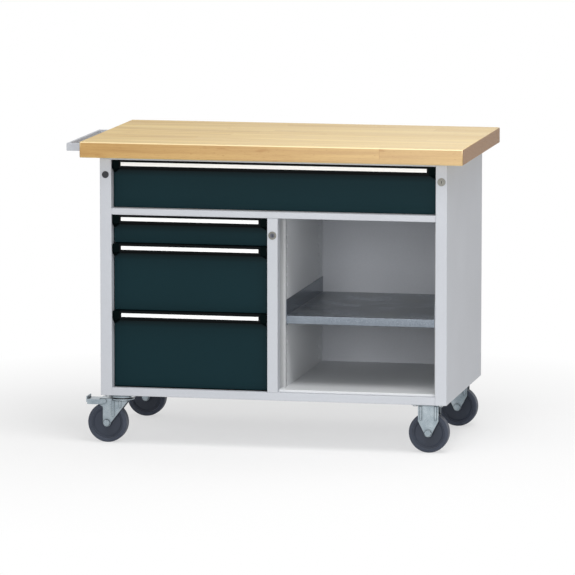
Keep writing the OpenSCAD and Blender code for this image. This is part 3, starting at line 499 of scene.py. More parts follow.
BLACK_PLASTIC = moulded("black_moulding", (1, 9, 10), 0.62, 0.03, dust=0.01)
GREY_PLUG = moulded("grey_plug_moulding", (52, 53, 56), 0.50, 0.2)
WHITE_LABEL = moulded("white_label", (250, 250, 249), 0.40, 0.4, grain=900.0, bump=0.01 * MM, spread=0.01)
CORE_PLASTIC = moulded("wheel_core_plastic", (46, 52, 64), 0.48, 0.3, grain=900.0, dust=0.06)
print("plastics:", BLACK_PLASTIC.name, GREY_PLUG.name, WHITE_LABEL.name, CORE_PLASTIC.name)

# %% [markdown]
# A grip rail is extruded aluminium, anodised black. The die draws faint lines along X, and
# every edge gets a thin painted highlight. Black anodising reflects little, so the shader is
# kept nearly plain and only the edges are lighter, partly as wear and partly as a painted
# highlight.

# %% Finish: anodised rail
RAIL_BLACK, tree, sockets = finish("black_anodised_rail", Metallic=0.1, Specular_IOR_Level=0.05)
drawn = use(tree, LINES, Stretch=(5.0, 1400.0, 1400.0))["Line"]
worn_and_highlighted = use(tree, EDGE, Radius=0.6 * MM, Breakup=90.0, Amount=0.5)
tone = mix_colour(tree, remap(tree, drawn, 0.3, 0.7), srgb(5, 7, 8), srgb(13, 16, 18))
# Edges are lightened, partly as wear and partly as a painted highlight.
tone = mix_colour(tree, worn_and_highlighted["Mask"], tone, srgb(60, 66, 70))
settle_dust(tree, sockets, tone, remap(tree, drawn, 0.3, 0.7, 0.38, 0.52), 0.02)
relief(tree, sockets, drawn, 0.02 * MM, worn_and_highlighted["Normal"])
print("finish:", RAIL_BLACK.name)

# %% [markdown]
# A tyre's tread is scuffed pale by the floor and its side walls stay dark. The mask between
# them comes from the normal: on a side wall it points along Y, the way the axle runs, and
# on the tread it points straight out. So one material serves all four wheels.

# %% Finish: tyre rubber
TYRE, tree, sockets = finish("tyre_rubber", Specular_IOR_Level=0.35)
place = here(tree)
side_on = sums(tree, "ABSOLUTE", faces_to(tree)["Y"])
tread = remap(tree, side_on, 0.75, 0.25)
scuffs = remap(tree, noise(tree, place, 55.0, 6.0), 0.38, 0.66)
grit = noise(tree, place, 900.0, 3.0)
mottle = remap(tree, noise(tree, place, 20.0, 4.0), 0.3, 0.7)
rubber = mix_colour(tree, mottle, srgb(50, 56, 68), srgb(64, 70, 83))
worn_rubber = mix_colour(tree, scuffs, srgb(84, 89, 100), srgb(116, 120, 128))
rubber = mix_colour(tree, sums(tree, "MULTIPLY", tread, 0.75), rubber, worn_rubber)
settle_dust(tree, sockets, rubber, remap(tree, grit, 0.3, 0.7, 0.62, 0.76), 0.10)
relief(tree, sockets, grit, 0.10 * MM)
print("finish:", TYRE.name)

# %% [markdown]
# The frame's record names a slot for every node. Each slot gets its finish here, and the
# pieces made later take theirs from the same table.

# %% Finishes into their slots
FINISH = {
    "beech": BEECH, "grey_paint": GREY_PAINT, "front_paint": FRONT_PAINT, "shelf_steel": SHELF_STEEL,
    "runner_steel": RUNNER_STEEL, "zinc_plate": ZINC, "lock_metal": NICKEL, "black_plastic": BLACK_PLASTIC,
    "rail_black": RAIL_BLACK, "label_white": WHITE_LABEL, "wheel_rubber": TYRE,
}
for node, thing in NODES.items():
    for place_in in thing.material_slots:
        place_in.material = FINISH[SLOT_OF[node]]
print("finishes placed on", len(NODES), "nodes")

# %% [markdown]
# The frame's meshes are loose triangles, which is fine for looking at but not for shaping.
# A copy with its doubles merged and its flat faces joined can be shaped like any mesh.
# Three helpers follow: one makes that copy, one turns an object with modifiers into a
# plain mesh, and one hangs the finished piece on the frame.

# %% Helpers for pieces
def put_in_scene(name, mesh):
    """An object for a mesh, at the origin."""
    piece = bpy.data.objects.new(name, mesh)
    bpy.context.collection.objects.link(piece)
    return piece


def joined_copy(node, flat=1.0):
    """A mesh to work on: the node's triangles, merged, with faces in one plane joined."""
    shape = bmesh.new()
    shape.from_mesh(NODES[node].data)
    bmesh.ops.remove_doubles(shape, verts=shape.verts, dist=0.01 * MM)
    bmesh.ops.dissolve_limit(shape, angle_limit=math.radians(flat), verts=shape.verts, edges=shape.edges)
    return shape


def to_mesh(shape, name):
    """Turns a working shape into a mesh, and lets the shape go."""
    mesh = bpy.data.meshes.new(name)
    shape.to_mesh(mesh)
    shape.free()
    return mesh


def bake(piece):
    """Replaces an object's mesh by the one that its modifiers make."""
    bpy.context.view_layer.update()
    made = piece.evaluated_get(bpy.context.evaluated_depsgraph_get())
    mesh = bpy.data.meshes.new_from_object(made)
    piece.modifiers.clear()
    old, piece.data = piece.data, mesh
    bpy.data.meshes.remove(old)
    mesh.name = piece.name


def plain(piece, sharp=40):
    """Applies a piece's modifiers and shades it smooth, except at edges sharper than an angle.

    Weighted normals then keep the wide faces flat, and leave the turn to the narrow ones.
    """
    bake(piece)
    piece.data.shade_smooth()
    piece.data.set_sharp_from_angle(angle=math.radians(sharp))
    weighted = piece.modifiers.new("weighted", "WEIGHTED_NORMAL")
    weighted.keep_sharp = True
    bake(piece)
    return piece


def hang(piece, body, finish_name, *nodes, material=None):
    """Gives a piece its finish, makes it ride on a body, and lets it stand for CAD nodes."""
    piece.data.materials.clear()
    piece.data.materials.append(material or FINISH[finish_name])
    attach(piece, body)
    if nodes:
        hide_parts(*nodes)
    return piece

# %% [markdown]
# A press brake can't fold a knife edge: the outside of a bend in 1.5 mm sheet has a radius
# of about 2 mm, and that rounded line catches the light down every post and rail. A bend
# is told from a cut edge by its faces. Beside a cut edge lies the sheet's own thickness,
# while beside a bend both faces are deep. So a helper measures how deep each face is,
# inwards from the middle of the edge, and only edges between two deep faces are bevelled.

# %% Rounded edges
def depth_at(face, edge):
    """How deep a face is, measured inwards from the middle of one of its edges."""
    first, last = (v.co for v in edge.verts)
    middle, along = (first + last) / 2, (last - first).normalized()
    inwards = face.normal.cross(along)
    if next(loop for loop in face.loops if loop.edge == edge).vert == edge.verts[1]:
        inwards.negate()
    found = [math.inf]
    for other in face.edges:
        ends = [v.co - middle for v in other.verts]
        (s0, t0), (s1, t1) = ((end.dot(along), end.dot(inwards)) for end in ends)
        if other != edge and min(s0, s1) <= 0 < max(s0, s1):
            found.append(t0 + (t1 - t0) * -s0 / (s1 - s0))
    return min(t for t in found if t > 0.01 * MM)


def is_bend(edge, least):
    """True for an outer corner between two faces that are both deeper than a limit."""
    if len(edge.link_faces) != 2 or not edge.is_convex or edge.calc_length() < least:
        return False
    turned = edge.calc_face_angle(0.0) > math.radians(30)
    return turned and min(depth_at(face, edge) for face in edge.link_faces) > least


def rounded_off(shape, edges, radius, segments, clamp=False):
    """Replaces edges of a shape by round ones."""
    bmesh.ops.bevel(
        shape, geom=edges, offset=radius, segments=segments, profile=0.5, affect="EDGES", clamp_overlap=clamp
    )


def eased(node, radius, least, segments=3, ending="_formed", material=None):
    """Stands for a node, with the outer corners between faces deeper than a limit rounded."""
    shape = joined_copy(node)
    bends = [edge for edge in shape.edges if is_bend(edge, least)]
    rounded_off(shape, bends, radius, segments)
    piece = plain(put_in_scene(node + ending, to_mesh(shape, node)))
    hang(piece, BODY_OF[node], SLOT_OF[node], node, material=material)
    return len(bends)

# %% [markdown]
# The cabinet's own sheets come first. Inside the compartment the coat is painted a shade
# lighter, as painted light, and its two walls are painted darker at their front folds, as
# painted shade where the folds are set back. A flat face has points only at its corners, but a
# distance kept there is right all over the face, because it grows evenly from one corner to
# the next.

# %% Folded sheets of the cabinet
SHEETS = (
    "left_side_wall", "right_side_wall", "base_pan", "middle_panel", "centre_post", "top_rails",
    "divider_wall", "right_inner_wall", "compartment_floor", "shelf",
)
INSIDE = {"divider_wall": WALL_COAT_PAINTED_LIGHTER, "right_inner_wall": WALL_COAT_PAINTED_LIGHTER, "compartment_floor": INNER_COAT_PAINTED_LIGHTER}


def mark_reach(name, way):
    """Keeps with a piece's mesh how far each point is along a way, from the piece's first point."""
    mesh = bpy.data.objects[name].data
    reaches = [v.co.dot(way) for v in mesh.vertices]
    kept = mesh.attributes.new("from_hands", "FLOAT", "POINT")
    nearest = min(reaches)
    kept.data.foreach_set("value", [reach - nearest for reach in reaches])


bends = {n: eased(n, 1.8 * MM, 3.5 * MM, ending="_folded", material=INSIDE.get(n)) for n in SHEETS}
# Painted shade is measured from the walls' front edges.
for node in ("divider_wall", "right_inner_wall"):
    mark_reach(node + "_folded", Vector((0, 1, 0)))
print("bends rounded:", bends)

# %% [markdown]
# A drawer front is a pan folded from thinner sheet, so its bends are tighter. The grip
# rails are extruded: the die leaves edges of half a millimetre. The end caps beside them
# are moulded, and a mould's corners are rounder, or the cap would tear as it comes out.
# The push handle is a flat drawn tube, with a foot plate welded to each end.
#
# A grip overhangs the panel, and the paint below it is darkened as a painted shadow. So each
# front keeps how far its points lie below its top.

# %% Fronts, grips, caps and handle
edges_eased = {}
for name in DRAWERS:
    edges_eased[name + " front"] = eased(name + "_drawer_front", 1.4 * MM, 3.0 * MM, ending="_folded")
    mark_reach(name + "_drawer_front_folded", Vector((0, 0, -1)))
    edges_eased[name + " grip"] = eased(name + "_grip_rail", 0.5 * MM, 1.1 * MM, segments=2)
    edges_eased[name + " caps"] = eased(name + "_end_caps", 1.2 * MM, 3.0 * MM)
edges_eased["handle"] = eased("push_handle", 1.6 * MM, 3.9 * MM)
edges_eased["locks"] = eased("lock_housings", 0.5 * MM, 1.5 * MM, segments=2)
print("edges rounded:", edges_eased)

# %% [markdown]
# The worktop's edges are taken off with a hand plane or a router, by about 2.5 mm. A sharp
# beech edge would splinter where tools are dragged over it, and the rounded one wears pale.

# %% Worktop edges
print("worktop edges eased:", eased("worktop", 2.5 * MM, 30 * MM, segments=4, ending="_eased"))

# %% [markdown]
# A caster's fork is pressed from 3 mm steel. Ribs are pressed out of its legs to stiffen
# them, and a press can't make a square rib, so it comes out as a round swelling. Here the
# four edges of each rib's outer face are rounded nearly to the rib's middle, and then the
# folds between the legs and the top plate get their own radius.

# %% Pressed caster forks
RIB_W = 7 * MM


def size_along(face, axis):
    """How far a face reaches along one axis."""
    places = [v.co[axis] for v in face.verts]
    return max(places) - min(places)


def is_rib(face):
    """True for the flat outer face of a rib: as wide as a rib, upright, and facing front or back."""
    upright = abs(face.normal.y) > 0.999 and len(face.verts) == 4
    return upright and abs(size_along(face, 0) - RIB_W) < 0.1 * MM and size_along(face, 2) > RIB_W


def pressed(node):
    """Stands for a fork, with its ribs swelled and its folds rounded."""
    shape = joined_copy(node)
    ribs = [face for face in shape.faces if is_rib(face)]
    rims = [edge for face in ribs for edge in face.edges]
    rounded_off(shape, rims, 0.38 * RIB_W, 4)
    folds = [edge for edge in shape.edges if is_bend(edge, 6 * MM)]
    rounded_off(shape, folds, 1.2 * MM, 3, clamp=True)
    piece = plain(put_in_scene(node + "_pressed", to_mesh(shape, node)), sharp=50)
    hang(piece, BODY_OF[node], SLOT_OF[node], node)
    return len(ribs), len(folds)


FORKS = [node for node in NODES if node.endswith(("swivel_fork", "fixed_forks"))]
print("ribs and folds:", {node: pressed(node) for node in FORKS})

# %% [markdown]
# The two locks are alike, but a key polishes one plug and not the other, and the third
# hole is only closed by a moulded plug. Three shades keep them apart.

# %% Lock plugs and the blank
PLUGS = {"right_lock_plug": NICKEL, "centre_lock_plug": KEYED_STEEL, "blanking_plug": GREY_PLUG}
for node, shade in PLUGS.items():
    print(node, "edges rounded:", eased(node, 0.4 * MM, 1.0 * MM, segments=2, material=shade))

# %% [markdown]
# A wheel is a turned shape: one outline carried round the axle. The tyre is moulded on, with
# a slightly crowned tread, round shoulders and a shallow groove where its bead meets the
# core. The core has a hub, a thinner web and a rim. Each outline is a short list of points
# and arcs, given as a distance from the axle and a distance along it.

# %% Turned pieces
def arc(centre, radius, start, end, steps=6):
    """Points on a round stretch of an outline, from one angle to another, in degrees."""
    turns = (math.radians(start + (end - start) * i / steps) for i in range(steps + 1))
    return [(centre[0] + radius * math.cos(t), centre[1] + radius * math.sin(t)) for t in turns]


def both_sides(half):
    """An outline that is the same on both sides of the wheel, from the points of one side."""
    return half + [(r, -y) for r, y in reversed(half)]


def turned(name, outline, centre, steps=96):
    """Carries a closed outline of (radius, offset) round an axle that runs along Y."""
    shape = bmesh.new()
    rings = []
    for i in range(steps):
        turn = 2 * math.pi * i / steps
        x, z = math.cos(turn), math.sin(turn)
        rings.append([shape.verts.new(centre + Vector((r * x, y, r * z))) for r, y in outline])
    for i, ring in enumerate(rings):
        after = rings[(i + 1) % steps]
        for j in range(len(outline)):
            k = (j + 1) % len(outline)
            shape.faces.new((ring[j], ring[k], after[k], after[j]))
    bmesh.ops.recalc_face_normals(shape, faces=shape.faces)
    return put_in_scene(name, to_mesh(shape, name))

# %% [markdown]
# The sizes are the frame's own where it has them. The wheel's box gives the radius and the
# hub's width; the tyre's width and the core's steps are named here, once, for all four.

# %% Wheels
TREAD_HALF, TYRE_DEEP, SHOULDER = 18.5 * MM, 12.5 * MM, 5.0 * MM
RIM_HALF, RIM_DEEP, WEB_HALF = 16.5 * MM, 5.0 * MM, 13.5 * MM
BORE, HUB_OUT = 5.06 * MM, 14.0 * MM


def tyre_outline(out):
    """A tyre's section from its bead to the middle of its tread, which has the radius out."""
    bead = out - TYRE_DEEP
    side = [(bead, -RIM_HALF), (bead + 0.6 * MM, -TREAD_HALF + 1.0 * MM), (bead + 1.8 * MM, -TREAD_HALF)]
    groove = [(bead + 3.4 * MM, -TREAD_HALF), (bead + 3.9 * MM, -TREAD_HALF + 0.3 * MM)]
    groove += [(bead + 4.6 * MM, -TREAD_HALF + 0.3 * MM), (bead + 5.1 * MM, -TREAD_HALF)]
    shoulder = arc((out - SHOULDER - 0.3 * MM, SHOULDER - TREAD_HALF), SHOULDER, -90, 0, 7)
    crown = [(out - 0.08 * MM, -TREAD_HALF * 0.35)]
    return both_sides(side + groove + shoulder + crown)


def core_outline(out, hub_half):
    """The core's section: the hub, the thinner web and the rim that the tyre sits on."""
    rim = out - TYRE_DEEP - 0.1 * MM
    step = 1.0 * MM
    hub = [(BORE, -hub_half), (HUB_OUT - step, -hub_half), (HUB_OUT, step - hub_half)]
    web = [(HUB_OUT, -WEB_HALF - step), (HUB_OUT + step, -WEB_HALF)]
    web += [(rim - RIM_DEEP - 3 * step, -WEB_HALF), (rim - RIM_DEEP - step, -WEB_HALF - 2 * step)]
    edge = [(rim - RIM_DEEP, step - RIM_HALF), (rim - RIM_DEEP + step, -RIM_HALF), (rim, -RIM_HALF)]
    return both_sides(hub + web + edge)


for node in [n for n in NODES if n.endswith("_wheel")]:
    low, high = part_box(node)
    axle_at, radius, hub_half = (low + high) / 2, (high.z - low.z) / 2, (high.y - low.y) / 2
    tyre = plain(turned(node.replace("wheel", "tyre"), tyre_outline(radius), axle_at))
    core = plain(turned(node.replace("wheel", "core"), core_outline(radius, hub_half), axle_at))
    hang(tyre, BODY_OF[node], SLOT_OF[node], node)
    hang(core, BODY_OF[node], SLOT_OF[node], node, material=CORE_PLASTIC)
print("wheel radius, mm:", round(radius / MM, 2), "tyre faces:", len(tyre.data.polygons))

# %% [markdown]
# Screws, bolts and rivets come in numbers, and each is the same part set at many places.
# That is work for Geometry Nodes: the tree takes a cloud of points, reads which way each
# point faces, and puts a part there, turned at random about its own axis as real heads are.
# Realize Instances then makes one plain mesh of them all.

# %% Tree: set parts at places
def live(sockets, name):
    """The socket of that name that a node uses: some nodes have one for each type of data."""
    return next(socket for socket in sockets if socket.enabled and socket.name == name)


def end_tree(tree, geometry, material, output):
    """Ends a tree with real geometry that has its finish, as the export needs."""
    real = add(tree, "GeometryNodeRealizeInstances", {0: geometry}).outputs[0]
    done = add(tree, "GeometryNodeSetMaterial", {"Geometry": real, "Material": material}).outputs[0]
    tree.links.new(done, output)


SETTING, ends_in, ends_out = open_group(
    "set_parts_at_places",
    [("Places", "Geometry", None), ("Part", "Object", None), ("Turn", "Float", 3.1), ("Seed", "Int", 4),
     ("Finish", "Material", None)],
    [("Geometry", "Geometry")],
    kind="GeometryNodeTree",
)
facing = add(
    SETTING, "GeometryNodeInputNamedAttribute", {"Name": "facing"}, data_type="FLOAT_VECTOR"
).outputs[0]
aimed = add(SETTING, "FunctionNodeAlignRotationToVector", {"Vector": facing}, axis="Z").outputs[0]
back_turn = sums(SETTING, "MULTIPLY", ends_in["Turn"], -1.0)
chance = add(SETTING, "FunctionNodeRandomValue", data_type="FLOAT")
SETTING.links.new(back_turn, live(chance.inputs, "Min"))
SETTING.links.new(ends_in["Turn"], live(chance.inputs, "Max"))
SETTING.links.new(ends_in["Seed"], live(chance.inputs, "Seed"))
own_turn = live(chance.outputs, "Value")
about = add(SETTING, "FunctionNodeAxisAngleToRotation", {"Axis": (0, 0, 1), "Angle": own_turn}).outputs[0]
turned_part = add(
    SETTING, "FunctionNodeRotateRotation", {"Rotation": aimed, "Rotate By": about}, rotation_space="LOCAL"
).outputs[0]
part = add(SETTING, "GeometryNodeObjectInfo", {"Object": ends_in["Part"]}).outputs["Geometry"]
placed = add(
    SETTING, "GeometryNodeInstanceOnPoints",
    {"Points": ends_in["Places"], "Instance": part, "Rotation": turned_part},
).outputs[0]
end_tree(SETTING, placed, ends_in["Finish"], ends_out["Geometry"])
print("tree:", SETTING.name)


def grow(piece, tree, **values):
    """Runs a Geometry Nodes tree on a piece, with its named inputs set, and keeps the mesh."""
    modifier = piece.modifiers.new(tree.name, "NODES")
    modifier.node_group = tree
    for socket in tree.interface.items_tree:
        if socket.in_out == "INPUT" and socket.name in values:
            modifier[socket.identifier] = values[socket.name]
    return plain(piece)


def set_parts(name, part, places, finish_made, seed=4, turn=3.1):
    """One mesh of a part set at places, given as (point, facing)."""
    cloud = bpy.data.meshes.new(name)
    cloud.from_pydata([point for point, _ in places], [], [])
    ways = cloud.attributes.new("facing", "FLOAT_VECTOR", "POINT")
    ways.data.foreach_set("vector", [c for _, way in places for c in way])
    piece = grow(put_in_scene(name, cloud), SETTING, Part=part, Turn=turn, Seed=seed, Finish=finish_made)
    bpy.data.objects.remove(part)
    return piece

# %% [markdown]
# The places come from the frame. A node such as the caster bolts is many loose solids, so
# a helper walks over connected faces and returns each solid's box.

# %% Loose solids of a node
def solids(node):
    """The lowest and highest corner of every loose solid in a node."""
    shape = joined_copy(node)
    left, boxes = set(shape.verts), []
    while left:
        front, found = [left.pop()], []
        while front:
            vert = front.pop()
            found.append(vert.co.copy())
            near = {edge.other_vert(vert) for edge in vert.link_edges} & left
            left -= near
            front += near
        low = Vector(min(point[i] for point in found) for i in range(3))
        high = Vector(max(point[i] for point in found) for i in range(3))
        boxes.append((low, high))
    shape.free()
    return boxes


NUT_TALLEST = 15 * MM
BOLT_BOXES = [(low, high) for low, high in solids("caster_bolts") if high.z - low.z > NUT_TALLEST]
SCREW_BOXES = solids("worktop_screws")
print("caster bolts:", len(BOLT_BOXES), "worktop screws:", len(SCREW_BOXES))

# %% [markdown]
# A hexagon head is a six-sided bar, chamfered so that its corners don't cut. It is drawn
# once with few faces, since sixteen bolts carry two of them each. The wood screws have a
# pan head with a cross recess, cut with a Boolean modifier, and a shank that ends in a point.

# %% Bolt and screw
def bar(shape, sides, radius, low, high, chamfer=0.0, tip=None):
    """Adds a bar along Z to a mesh, chamfered at its lower end, or drawn to a tip at its upper."""
    levels = [(low, radius - chamfer), (low + chamfer * 0.6, radius), (high, radius)]
    if tip:
        levels.append((high + tip, radius * 0.08))
    rings = []
    for z, r in levels:
        turns = [2 * math.pi * i / sides for i in range(sides)]
        rings.append([shape.verts.new((r * math.cos(t), r * math.sin(t), z)) for t in turns])
    for lower, upper in zip(rings, rings[1:]):
        for i in range(sides):
            k = (i + 1) % sides
            shape.faces.new((lower[i], lower[k], upper[k], upper[i]))
    shape.faces.new(reversed(rings[0]))
    shape.faces.new(rings[-1])


HEAD_ACROSS, BOLT_HEAD_H, NUT_H, BOLT_R = 13 * MM, 5.3 * MM, 6.5 * MM, 3.95 * MM
CASTER_PLATE, PAN_SHEET = 3.5 * MM, 2 * MM
UP, RIGHT, BACK = (0, 0, 1), (1, 0, 0), (0, 1, 0)
bolt_low, bolt_high = BOLT_BOXES[0]
corner = HEAD_ACROSS / 2 / math.cos(math.radians(30))
nut_low = BOLT_HEAD_H + CASTER_PLATE + PAN_SHEET
shape = bmesh.new()
bar(shape, 6, corner, 0, BOLT_HEAD_H, chamfer=1.0 * MM)
bar(shape, 16, corner * 0.98, BOLT_HEAD_H - 0.6 * MM, BOLT_HEAD_H, chamfer=0.3 * MM)
bar(shape, 12, BOLT_R, BOLT_HEAD_H * 0.9, bolt_high.z - bolt_low.z)
bar(shape, 6, corner, nut_low, nut_low + NUT_H, chamfer=0.8 * MM)
bolt = put_in_scene("bolt_part", to_mesh(shape, "bolt_part"))


def bolt_place(low, high):
    """Where a bolt's head is: at the foot of its box, with the shank going up."""
    middle = (low + high) / 2
    return Vector((middle.x, middle.y, low.z)), UP


places = [bolt_place(low, high) for low, high in BOLT_BOXES]
bolts = set_parts("caster_hex_bolts", bolt, places, SCREW_STEEL)
hang(bolts, BODY_OF["caster_bolts"], SLOT_OF["caster_bolts"], "caster_bolts", material=SCREW_STEEL)
print("faces in", len(places), "bolts:", len(bolts.data.polygons))

# %% [markdown]
# A pan head is a flattened half ball. Two crossed bars are cut from it for the driver, and
# the shank goes on afterwards, so that the cut has only the head to deal with.

# %% Cross-recessed wood screws
HEAD_R, HEAD_H, SHANK_R = 5 * MM, 3.5 * MM, 2.5 * MM
RECESS_LONG, RECESS_THIN, RECESS_DEEP = 2.6 * MM, 0.55 * MM, 1.7 * MM
shape = bmesh.new()
bmesh.ops.create_uvsphere(shape, u_segments=20, v_segments=12, radius=HEAD_R)
for vert in shape.verts:
    vert.co.z = HEAD_H + min(vert.co.z, 0) * HEAD_H / HEAD_R
bmesh.ops.remove_doubles(shape, verts=shape.verts, dist=0.001 * MM)
head = put_in_scene("screw_head_part", to_mesh(shape, "screw_head_part"))
shape = bmesh.new()
for x, y in ((RECESS_LONG, RECESS_THIN), (RECESS_THIN, RECESS_LONG)):
    made = bmesh.ops.create_cube(shape, size=2.0)["verts"]
    bmesh.ops.scale(shape, vec=(x, y, RECESS_DEEP), verts=made)
cross = put_in_scene("cross_part", to_mesh(shape, "cross_part"))
cut = head.modifiers.new("recess", "BOOLEAN")
cut.operation, cut.object, cut.solver, cut.use_self = "DIFFERENCE", cross, "EXACT", True
bake(head)
bpy.data.objects.remove(cross)
shape = bmesh.new()
shape.from_mesh(head.data)
bar(shape, 12, SHANK_R, HEAD_H * 0.8, 27 * MM, tip=8 * MM)
old, head.data = head.data, to_mesh(shape, "screw_part")
bpy.data.meshes.remove(old)


def screw_place(low, high):
    """Where a screw's head is, and which way its point goes: up under the top, else along X."""
    middle, size = (low + high) / 2, high - low
    if size.z > size.x:
        return Vector((middle.x, middle.y, low.z)), UP
    return Vector((low.x, middle.y, middle.z)), RIGHT


places = [screw_place(low, high) for low, high in SCREW_BOXES]
screws = set_parts("cross_head_screws", head, places, SCREW_STEEL, seed=9)
hang(screws, BODY_OF["worktop_screws"], SLOT_OF["worktop_screws"], "worktop_screws", material=SCREW_STEEL)
print("faces in", len(places), "screws:", len(screws.data.polygons))

# %% [markdown]
# Two small things follow a path. A drawer's side sheets end in a rolled hem, so the top
# edge is round and doesn't cut a hand. And the push handle is welded to its foot plates
# by a run of small overlapping beads. One tree can make both from a path: it sweeps a
# round section along it, and where a spacing is given it sets beads on it instead.

# %% Tree: follow a path
PATHS, ends_in, ends_out = open_group(
    "follow_a_path",
    [("Path", "Geometry", None), ("Radius", "Float", 1.5 * MM), ("Spacing", "Float", 1.6 * MM),
     ("Beaded", "Bool", False), ("Seed", "Int", 2), ("Finish", "Material", None)],
    [("Geometry", "Geometry")],
    kind="GeometryNodeTree",
)
curve = add(PATHS, "GeometryNodeMeshToCurve", {0: ends_in["Path"]}).outputs[0]
section = add(PATHS, "GeometryNodeCurvePrimitiveCircle", {"Resolution": 10, "Radius": ends_in["Radius"]})
swept = add(
    PATHS, "GeometryNodeCurveToMesh",
    {"Curve": curve, "Profile Curve": section.outputs["Curve"], "Fill Caps": True},
).outputs[0]
stations = add(
    PATHS, "GeometryNodeResampleCurve", {"Curve": curve, "Length": ends_in["Spacing"]}, mode="LENGTH"
).outputs[0]
bead = add(PATHS, "GeometryNodeMeshIcoSphere", {"Radius": ends_in["Radius"], "Subdivisions": 2})
sizes = add(PATHS, "FunctionNodeRandomValue", data_type="FLOAT")
live(sizes.inputs, "Min").default_value = 0.8
live(sizes.inputs, "Max").default_value = 1.15
PATHS.links.new(ends_in["Seed"], live(sizes.inputs, "Seed"))
beads = add(
    PATHS, "GeometryNodeInstanceOnPoints",
    {"Points": stations, "Instance": bead.outputs["Mesh"], "Scale": live(sizes.outputs, "Value")},
).outputs[0]
chosen = add(
    PATHS, "GeometryNodeSwitch",
    {"Switch": ends_in["Beaded"], "False": swept, "True": beads}, input_type="GEOMETRY",
).outputs[0]
end_tree(PATHS, chosen, ends_in["Finish"], ends_out["Geometry"])
print("tree:", PATHS.name)


def path_object(name, *loops):
    """A piece that is only edges: closed loops of points for the tree to follow."""
    points, edges = [], []
    for loop in loops:
        first, count = len(points), len(loop)
        points += loop
        edges += [(first + i, first + (i + 1) % count) for i in range(count)]
    mesh = bpy.data.meshes.new(name)
    mesh.from_pydata(points, edges, [])
    return put_in_scene(name, mesh)


def round_loop(low, high, radius, at, steps=4):
    """A rectangle with round corners, from two corners (a, b); at() places each point."""
    corners = ((high[0], high[1], 0), (low[0], high[1], 90), (low[0], low[1], 180), (high[0], low[1], 270))
    points = []
    for a, b, turn in corners:
        centre = (a - radius * (1 if a == high[0] else -1), b - radius * (1 if b == high[1] else -1))
        points += [at(*p) for p in arc(centre, radius, turn, turn + 90, steps)]
    return points

# %% [markdown]
# The hem runs round the top of a drawer's box. Its roll is thicker than the sheet and stands
# a little above it. At the front and back it lies half a millimetre further in.

# %% Drawer hems
HEM, BOX_SHEET, HEM_CORNER, HEM_CLEAR = 1.5 * MM, 1.2 * MM, 2 * MM, 0.5 * MM
for name in DRAWERS:
    node = name + "_drawer_box"
    low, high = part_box(node)
    rim_z, in_x, in_y = high.z - HEM * 0.6, BOX_SHEET / 2, BOX_SHEET / 2 + HEM_CLEAR
    run = round_loop(
        (low.x + in_x, low.y + in_y), (high.x - in_x, high.y - in_y), HEM_CORNER,
        lambda a, b: Vector((a, b, rim_z)),
    )
    hem = grow(path_object(name + "_drawer_hem", run), PATHS, Radius=HEM, Finish=FINISH[SLOT_OF[node]])
    hang(hem, BODY_OF[node], SLOT_OF[node], material=FINISH[SLOT_OF[node]])
print("hem faces:", len(hem.data.polygons))

# %% [markdown]
# The handle's tube meets its foot plates on a plane just outside the worktop's left end.
# A weld runs round each end of the tube, a little clear of its faces.

# %% Handle welds
PLATE_T, FOOT_HALF, TUBE_T, TUBE_H = 4 * MM, 22 * MM, 8 * MM, 24 * MM
WELD, WELD_STEP, WELD_CLEAR, WELD_CORNER, WELD_PROUD = 1.4 * MM, 1.7 * MM, 0.3 * MM, 1.5 * MM, 0.4 * MM
low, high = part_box("push_handle")
tube_mid_z = (low.z + high.z) / 2
weld_x = TOP_LOW.x - PLATE_T - WELD_PROUD
half_y, half_z = TUBE_T / 2 + WELD_CLEAR, TUBE_H / 2 + WELD_CLEAR
loops = []
for middle_y in (low.y + FOOT_HALF, high.y - FOOT_HALF):
    loops.append(round_loop(
        (middle_y - half_y, tube_mid_z - half_z), (middle_y + half_y, tube_mid_z + half_z), WELD_CORNER,
        lambda a, b: Vector((weld_x, a, b)),
    ))
weld_path = path_object("handle_welds", *loops)
welds = grow(weld_path, PATHS, Radius=WELD, Spacing=WELD_STEP, Beaded=True, Finish=GREY_PAINT)
hang(welds, BODY_OF["push_handle"], SLOT_OF["push_handle"])
print("weld faces:", len(welds.data.polygons))

# %% [markdown]
# The back panel slides in behind the rear flanges of the side walls and is held there by
# blind rivets. A rivet shows a low round head with a dimple where its pin broke off.

# %% Rivets of the back panel
RIVET_R, RIVET_H, RIVET_ROWS, FLANGE = 4 * MM, 1.3 * MM, 7, 22 * MM
PIN_HOLE, SUNK, NEAR_AXIS = 1.3 * MM, 0.4 * MM, 0.02 * MM
dimple = [(NEAR_AXIS, 0.3 * RIVET_H), (PIN_HOLE, 0.3 * RIVET_H), (PIN_HOLE + 0.4 * MM, RIVET_H)]
dome = [(2.6 * MM, RIVET_H * 0.9), (3.5 * MM, RIVET_H * 0.55), (RIVET_R, 0.05 * MM)]
rivet_outline = dimple + dome + [(RIVET_R, -SUNK), (NEAR_AXIS, -SUNK)]
rivet = turned("rivet_part", rivet_outline, Vector((0, 0, 0)), steps=16)
rivet.data.transform(Matrix.Rotation(math.radians(90), 4, "X"))
base_low, base_high = WALL_LEFT[0].z, WALL_LEFT[1].z
rows = [base_low + (base_high - base_low) * (i + 0.5) / RIVET_ROWS for i in range(RIVET_ROWS)]
places = [
    (Vector((x, WALL_LEFT[1].y, z)), BACK)
    for x in (WALL_LEFT[0].x + FLANGE / 2, WALL_RIGHT[1].x - FLANGE / 2) for z in rows
]
rivets = set_parts("back_rivets", rivet, places, SCREW_STEEL, seed=5)
hang(rivets, BODY_OF["back_panel"], "zinc_plate", material=SCREW_STEEL)
print("rivets:", len(places))

# %% [markdown]
# The stage is a plain pale floor that runs out of sight. Where it is seen directly, about
# half of it is a white light of its own near the bench, and all of it further off. So the
# bench's shadow stays pale, and no horizon shows.

